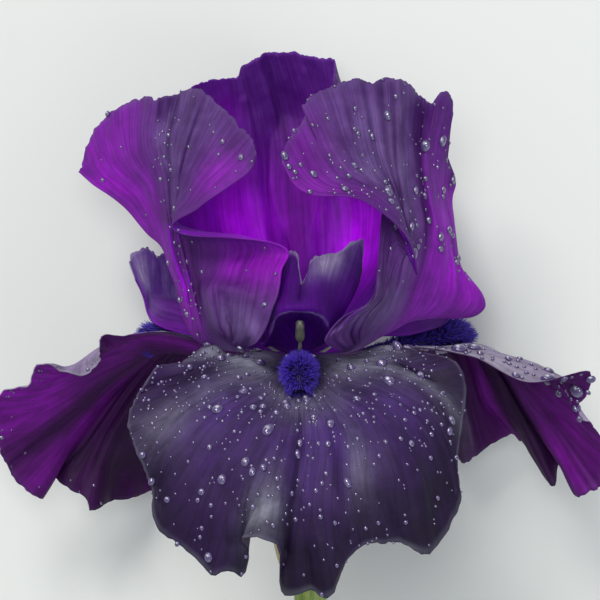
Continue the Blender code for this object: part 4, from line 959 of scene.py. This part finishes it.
def petal_place(tree):
    """The place on a petal's own UV map, split into its share across and its share along."""
    place = tree.nodes.new("ShaderNodeUVMap")
    place.uv_map = "petal"
    parts = tree.nodes.new("ShaderNodeSeparateXYZ")
    tree.links.new(place.outputs[0], parts.inputs[0])
    return parts.outputs[0], parts.outputs[1]


def cloud(tree, place, scale, detail, roughness=0.5):
    """Soft noise at place. Returns its strength."""
    node = tree.nodes.new("ShaderNodeTexNoise")
    tree.links.new(place, node.inputs["Vector"])
    feed(tree, node.inputs["Scale"], scale)
    node.inputs["Detail"].default_value = detail
    node.inputs["Roughness"].default_value = roughness
    return node.outputs[0]


def raise_surface(tree, shader, height, strength, distance):
    """Lets a pattern raise the surface by up to distance, in metres."""
    bump = tree.nodes.new("ShaderNodeBump")
    bump.inputs["Strength"].default_value = strength
    bump.inputs["Distance"].default_value = distance
    tree.links.new(height, bump.inputs["Height"])
    tree.links.new(bump.outputs[0], shader.inputs["Normal"])


def new_group(name, inputs, outputs):
    """An empty shader node group, with its inputs, numbers by name, and the names of its outputs."""
    group = bpy.data.node_groups.new(name, "ShaderNodeTree")
    for label, value in inputs.items():
        socket = group.interface.new_socket(label, in_out="INPUT", socket_type="NodeSocketFloat")
        socket.default_value = value
    for label in outputs:
        group.interface.new_socket(label, in_out="OUTPUT", socket_type="NodeSocketFloat")
    return group, group.nodes.new("NodeGroupInput"), group.nodes.new("NodeGroupOutput")


def streaks_group():
    """Lines that fan out from the claw, on a petal's own UV map: soft streaks, patches and thin veins."""
    group, given, result = new_group(
        "petal_streaks", {"Fineness": 60.0, "Seed": 0.0}, ("Streaks", "Mottle", "Veins"))
    across, along = petal_place(group)
    for output, (fine, long, detail) in STREAKS.items():
        join = group.nodes.new("ShaderNodeCombineXYZ")
        wide = math_node(group, "MULTIPLY", across, given.outputs["Fineness"])
        group.links.new(math_node(group, "MULTIPLY", wide, fine), join.inputs[0])
        group.links.new(math_node(group, "MULTIPLY", along, long), join.inputs[1])
        group.links.new(given.outputs["Seed"], join.inputs[2])
        strength = cloud(group, join.outputs[0], 1.0, detail, 0.6)
        if output == "Veins":
            off = math_node(group, "ABSOLUTE", math_node(group, "SUBTRACT", strength, 0.5))
            lines = math_node(group, "MULTIPLY", off, 16.0, clamp=True)
        else:
            lines = spread(group, strength, 0.28, 2.3)
        group.links.new(lines, result.inputs[output])
    return group


def patches_group():
    """Soft patches and fine fur on the bloom's own space, the same size on every piece."""
    group, given, result = new_group("petal_patches", {"Patches": 130.0}, ("Patch", "Fur"))
    body = group.nodes.new("ShaderNodeTexCoord").outputs["Object"]
    for output, scale, detail in (("Patch", given.outputs["Patches"], 4.0), ("Fur", FUR_SCALE, 3.0)):
        strength = cloud(group, body, scale, detail, 0.62)
        group.links.new(spread(group, strength, 0.3, 2.4), result.inputs[output])
    return group


# Finishes


def new_finish(name, roughness):
    """A finish of this roughness, with its nodes and its main shader."""
    finish = bpy.data.materials.new(name)
    finish.use_nodes = True
    shader = finish.node_tree.nodes["Principled BSDF"]
    shader.inputs["Roughness"].default_value = roughness
    return finish, finish.node_tree, shader


def painted_rim_highlight(tree, mottle, rim):
    """How strongly a painted highlight lies along a petal's margin, in patches."""
    edge = tree.nodes.new("ShaderNodeMapRange")
    edge.interpolation_type = "SMOOTHSTEP"
    edge.inputs["From Min"].default_value = RIM_START
    edge.inputs["From Max"].default_value = 1.0
    edge.inputs["To Max"].default_value = rim
    _, along = petal_place(tree)
    tree.links.new(along, edge.inputs["Value"])
    return math_node(tree, "MULTIPLY", edge.outputs[0], scaled(tree, mottle, 1.1, 0.1), clamp=True)


def petal_finish(
    groups, name, ground, glow, bloom, deep, sheen, rim, seed, fineness, through=0.25,
    lit=(0.5, 0.02, 0.8), alight=0.0,
):
    """Velvety petal: a ground colour with painted daylight coming through it, painted sheen and painted
    shade where the blade's own masks lie.

    Daylight comes through it in the colour lit, by the share through. alight is the strength of a painted
    glow: emission in the colour lit where the glow mask lies.
    """
    finish, tree, shader = new_finish(name, 0.58)
    lines = tree.nodes.new("ShaderNodeGroup")
    lines.node_tree = groups["streaks"]
    lines.inputs["Fineness"].default_value = fineness
    lines.inputs["Seed"].default_value = seed
    clouds = tree.nodes.new("ShaderNodeGroup")
    clouds.node_tree = groups["patches"]
    streak, mottle, vein = (lines.outputs[output] for output in STREAKS)
    patch, fur = clouds.outputs["Patch"], clouds.outputs["Fur"]

    # Painted light by the blade's masks: glow is painted daylight coming through the petal, bloom is painted
    # velvet sheen, dark is painted shade
    painted_glow = math_node(tree, "MULTIPLY", painted(tree, "glow"), scaled(tree, mottle, 0.8, 0.45), clamp=True)
    painted_sheen = math_node(tree, "MULTIPLY", painted(tree, "bloom"), scaled(tree, patch, 0.6, 0.5), clamp=True)
    shadowed = math_node(tree, "MULTIPLY", painted(tree, "dark"), scaled(tree, mottle, 0.5, 0.6), clamp=True)
    colour = mix_colour(tree, painted_glow, ground, glow)
    colour = mix_colour(tree, painted_sheen, colour, bloom)
    colour = mix_colour(tree, shadowed, colour, deep)
    worn = math_node(tree, "MULTIPLY", scaled(tree, patch, 0.5, 0.78), scaled(tree, streak, 0.4, 0.8))
    worn = math_node(tree, "MULTIPLY", worn, scaled(tree, vein, 0.3, 0.74))
    grey = tree.nodes.new("ShaderNodeCombineColor")
    for socket in grey.inputs[:3]:
        tree.links.new(worn, socket)
    colour = mix_colour(tree, 1.0, colour, grey.outputs[0], "MULTIPLY")
    # Painted highlight along the margin, in the painted sheen colour
    colour = mix_colour(tree, painted_rim_highlight(tree, mottle, rim), colour, bloom)

    tree.links.new(colour, shader.inputs["Base Color"])
    shader.inputs["Specular IOR Level"].default_value = 0.18
    shader.inputs["Sheen Weight"].default_value = sheen
    shader.inputs["Sheen Roughness"].default_value = 0.35
    shader.inputs["Sheen Tint"].default_value = (0.60, 0.56, 0.85, 1)
    broad = math_node(tree, "ADD", streak, patch)
    height = math_node(tree, "ADD", math_node(tree, "MULTIPLY", fur, 0.3), broad)
    raise_surface(tree, shader, height, 0.6, 0.0002)
    # Painted glow: emission in the colour lit where the glow mask lies, standing in for daylight coming
    # through the petal
    shader.inputs["Emission Strength"].default_value = alight
    tree.links.new(mix_colour(tree, painted_glow, (0, 0, 0), lit), shader.inputs["Emission Color"])
    clear = tree.nodes.new("ShaderNodeBsdfTranslucent")
    tree.links.new(mix_colour(tree, 0.65, colour, lit), clear.inputs["Color"])
    blend = tree.nodes.new("ShaderNodeMixShader")
    blend.inputs[0].default_value = through
    tree.links.new(shader.outputs[0], blend.inputs[1])
    tree.links.new(clear.outputs[0], blend.inputs[2])
    tree.links.new(blend.outputs[0], tree.nodes["Material Output"].inputs["Surface"])
    return finish


def beard_finish():
    """Blue-violet hairs, dark at the root and bright at the tip."""
    finish, tree, shader = new_finish("beard fur", 0.6)
    colour = mix_colour(tree, painted(tree, "tip"), (0.005, 0.001, 0.05), (0.10, 0.03, 0.75))
    tree.links.new(colour, shader.inputs["Base Color"])
    return finish


def drop_finish():
    """Rainwater: painted dark violet for the petal seen through it, with a painted highlight on the side of
    each drop towards the standards and a fainter painted crescent of light on the other side.
    """
    finish, tree, shader = new_finish("rainwater", 0.05)
    light = math_node(tree, "POWER", painted(tree, "painted_highlight"), 1.4, clamp=True)
    colour = mix_colour(tree, light, (0.075, 0.05, 0.15), (1.0, 1.0, 1.0))
    tree.links.new(colour, shader.inputs["Base Color"])
    shader.inputs["IOR"].default_value = 1.5
    shader.inputs["Coat Weight"].default_value = 0.6
    shader.inputs["Coat Roughness"].default_value = 0.03
    return finish


def grown_finish(name, dark, light, roughness, stretch, scale, height):
    """A plant surface with fine lines along it: stem, ovary, spathe or anther."""
    finish, tree, shader = new_finish(name, roughness)
    body = tree.nodes.new("ShaderNodeTexCoord")
    place = tree.nodes.new("ShaderNodeMapping")
    place.inputs["Scale"].default_value = (1, stretch, 1)
    tree.links.new(body.outputs["Object"], place.inputs["Vector"])
    lines = spread(tree, cloud(tree, place.outputs[0], scale, 5.0), 0.3, 2.4)
    tree.links.new(mix_colour(tree, lines, dark, light), shader.inputs["Base Color"])
    raise_surface(tree, shader, lines, 0.4, height)
    return finish


def make_finishes():
    """Every finish of the bloom, by name."""
    groups = {"streaks": streaks_group(), "patches": patches_group()}
    look = {key: petal_finish(groups, **values) for key, values in PETAL_LOOKS.items()}
    look["beard"] = beard_finish()
    look["water"] = drop_finish()
    for key, values in GROWN_LOOKS.items():
        look[key] = grown_finish(*values)
    return look


# Studio


def add_floor():
    """A pale floor under the bloom."""
    built = bmesh.new()
    bmesh.ops.create_grid(built, x_segments=1, y_segments=1, size=6)
    mesh = bpy.data.meshes.new("floor")
    built.to_mesh(mesh)
    built.free()
    plain, _, shader = new_finish("pale floor", 0.9)
    shader.inputs["Base Color"].default_value = (0.70, 0.72, 0.68, 1)
    mesh.materials.append(plain)
    floor = bpy.data.objects.new("floor", mesh)
    bpy.context.scene.collection.objects.link(floor)


def add_lamp(name, place, target, size, power, colour):
    """A soft round lamp that faces a point."""
    lamp = bpy.data.lights.new(name, "AREA")
    lamp.shape = "DISK"
    lamp.size = size
    lamp.energy = power
    lamp.color = colour
    holder = bpy.data.objects.new(name, lamp)
    holder.location = place
    holder.rotation_euler = (Vector(target) - Vector(place)).to_track_quat("-Z", "Y").to_euler()
    bpy.context.scene.collection.objects.link(holder)


def make_studio():
    """A pale floor, soft light and a camera that looks straight down on the bloom's face."""
    scene = bpy.context.scene
    add_floor()
    world = bpy.data.worlds.new("studio")
    world.use_nodes = True
    sky = world.node_tree.nodes["Background"]
    sky.inputs["Color"].default_value = (0.86, 0.90, 1.0, 1)
    sky.inputs["Strength"].default_value = 0.5
    scene.world = world
    middle = (HEART + Vector((0, FRAME_MIDDLE, 0))) * MM
    for name, place, size, power, colour in LAMPS:
        add_lamp(name, place, middle, size, power, colour)
    lens = bpy.data.cameras.new("camera")
    lens.sensor_width = SENSOR_WIDTH
    lens.lens = SENSOR_WIDTH * CAMERA_DISTANCE / FRAME_WIDTH
    camera = bpy.data.objects.new("camera", lens)
    camera.location = middle + Vector((0, 0, CAMERA_DISTANCE))
    scene.collection.objects.link(camera)
    scene.camera = camera
    scene.view_settings.view_transform = "Standard"


# Each petal: its rows, its kind, the finishes of its two sides and its rain, as (count, radii, where, seed)
PETALS = {
    "fall_front": (FRONT_FALL, "fall", ("fall_under", "fall_top"), (560, DROPS, wet_front, 11)),
    "fall_left": (LEFT_FALL, "fall", ("haft_top", "fall_under"), (40, DROPS, wet_end, 12)),
    "fall_right": (RIGHT_FALL, "fall", ("fall_under", "haft_top"), (100, LARGE_DROPS, wet_shoulder, 13)),
    "standard_left": (
        LEFT_STANDARD, "standard", ("standard_outer", "standard_inner"), (90, DROPS, wet_midrib, 14)),
    "standard_right": (
        RIGHT_STANDARD, "standard", ("standard_outer", "standard_inner"), (170, DROPS, wet_rim, 15)),
    "standard_back": (BACK_STANDARD, "standard", ("standard_inner", "standard_outer"), None),
}


def build():
    """The whole bloom."""
    look = make_finishes()
    for node, (rows, kind, sides, drops) in PETALS.items():
        piece, surface = blade(node, rows, kind, [look[side] for side in sides])
        if drops:
            rain(node, surface, look["water"], *drops)

    third = math.radians(120)
    styles = (("front", FRONT_STYLE, 0.0), ("left", SIDE_STYLE, -third), ("right", SIDE_STYLE, third))
    for side, rows, turn in styles:
        piece, _ = blade("style_" + side, rows, "style", [look["style"]] * 2, turn)
        stamen(side, look["pollen"], turn)
    for side, rows in (("front", FRONT_FALL), ("left", LEFT_FALL), ("right", RIGHT_FALL)):
        beard(side, rows, look["beard"])

    green_length("green_tube", "tube_and_ovary", TUBE_LINE, TUBE_RADII, 60, look["green"], ribs)
    green_length("green_stem", "stem", STEM_LINE, STEM_RADII, 120, look["green"])
    for node, (degrees, long, lean) in SPATHES.items():
        spathe(node, look["papery"], math.radians(degrees), long, lean)
    make_studio()


build()
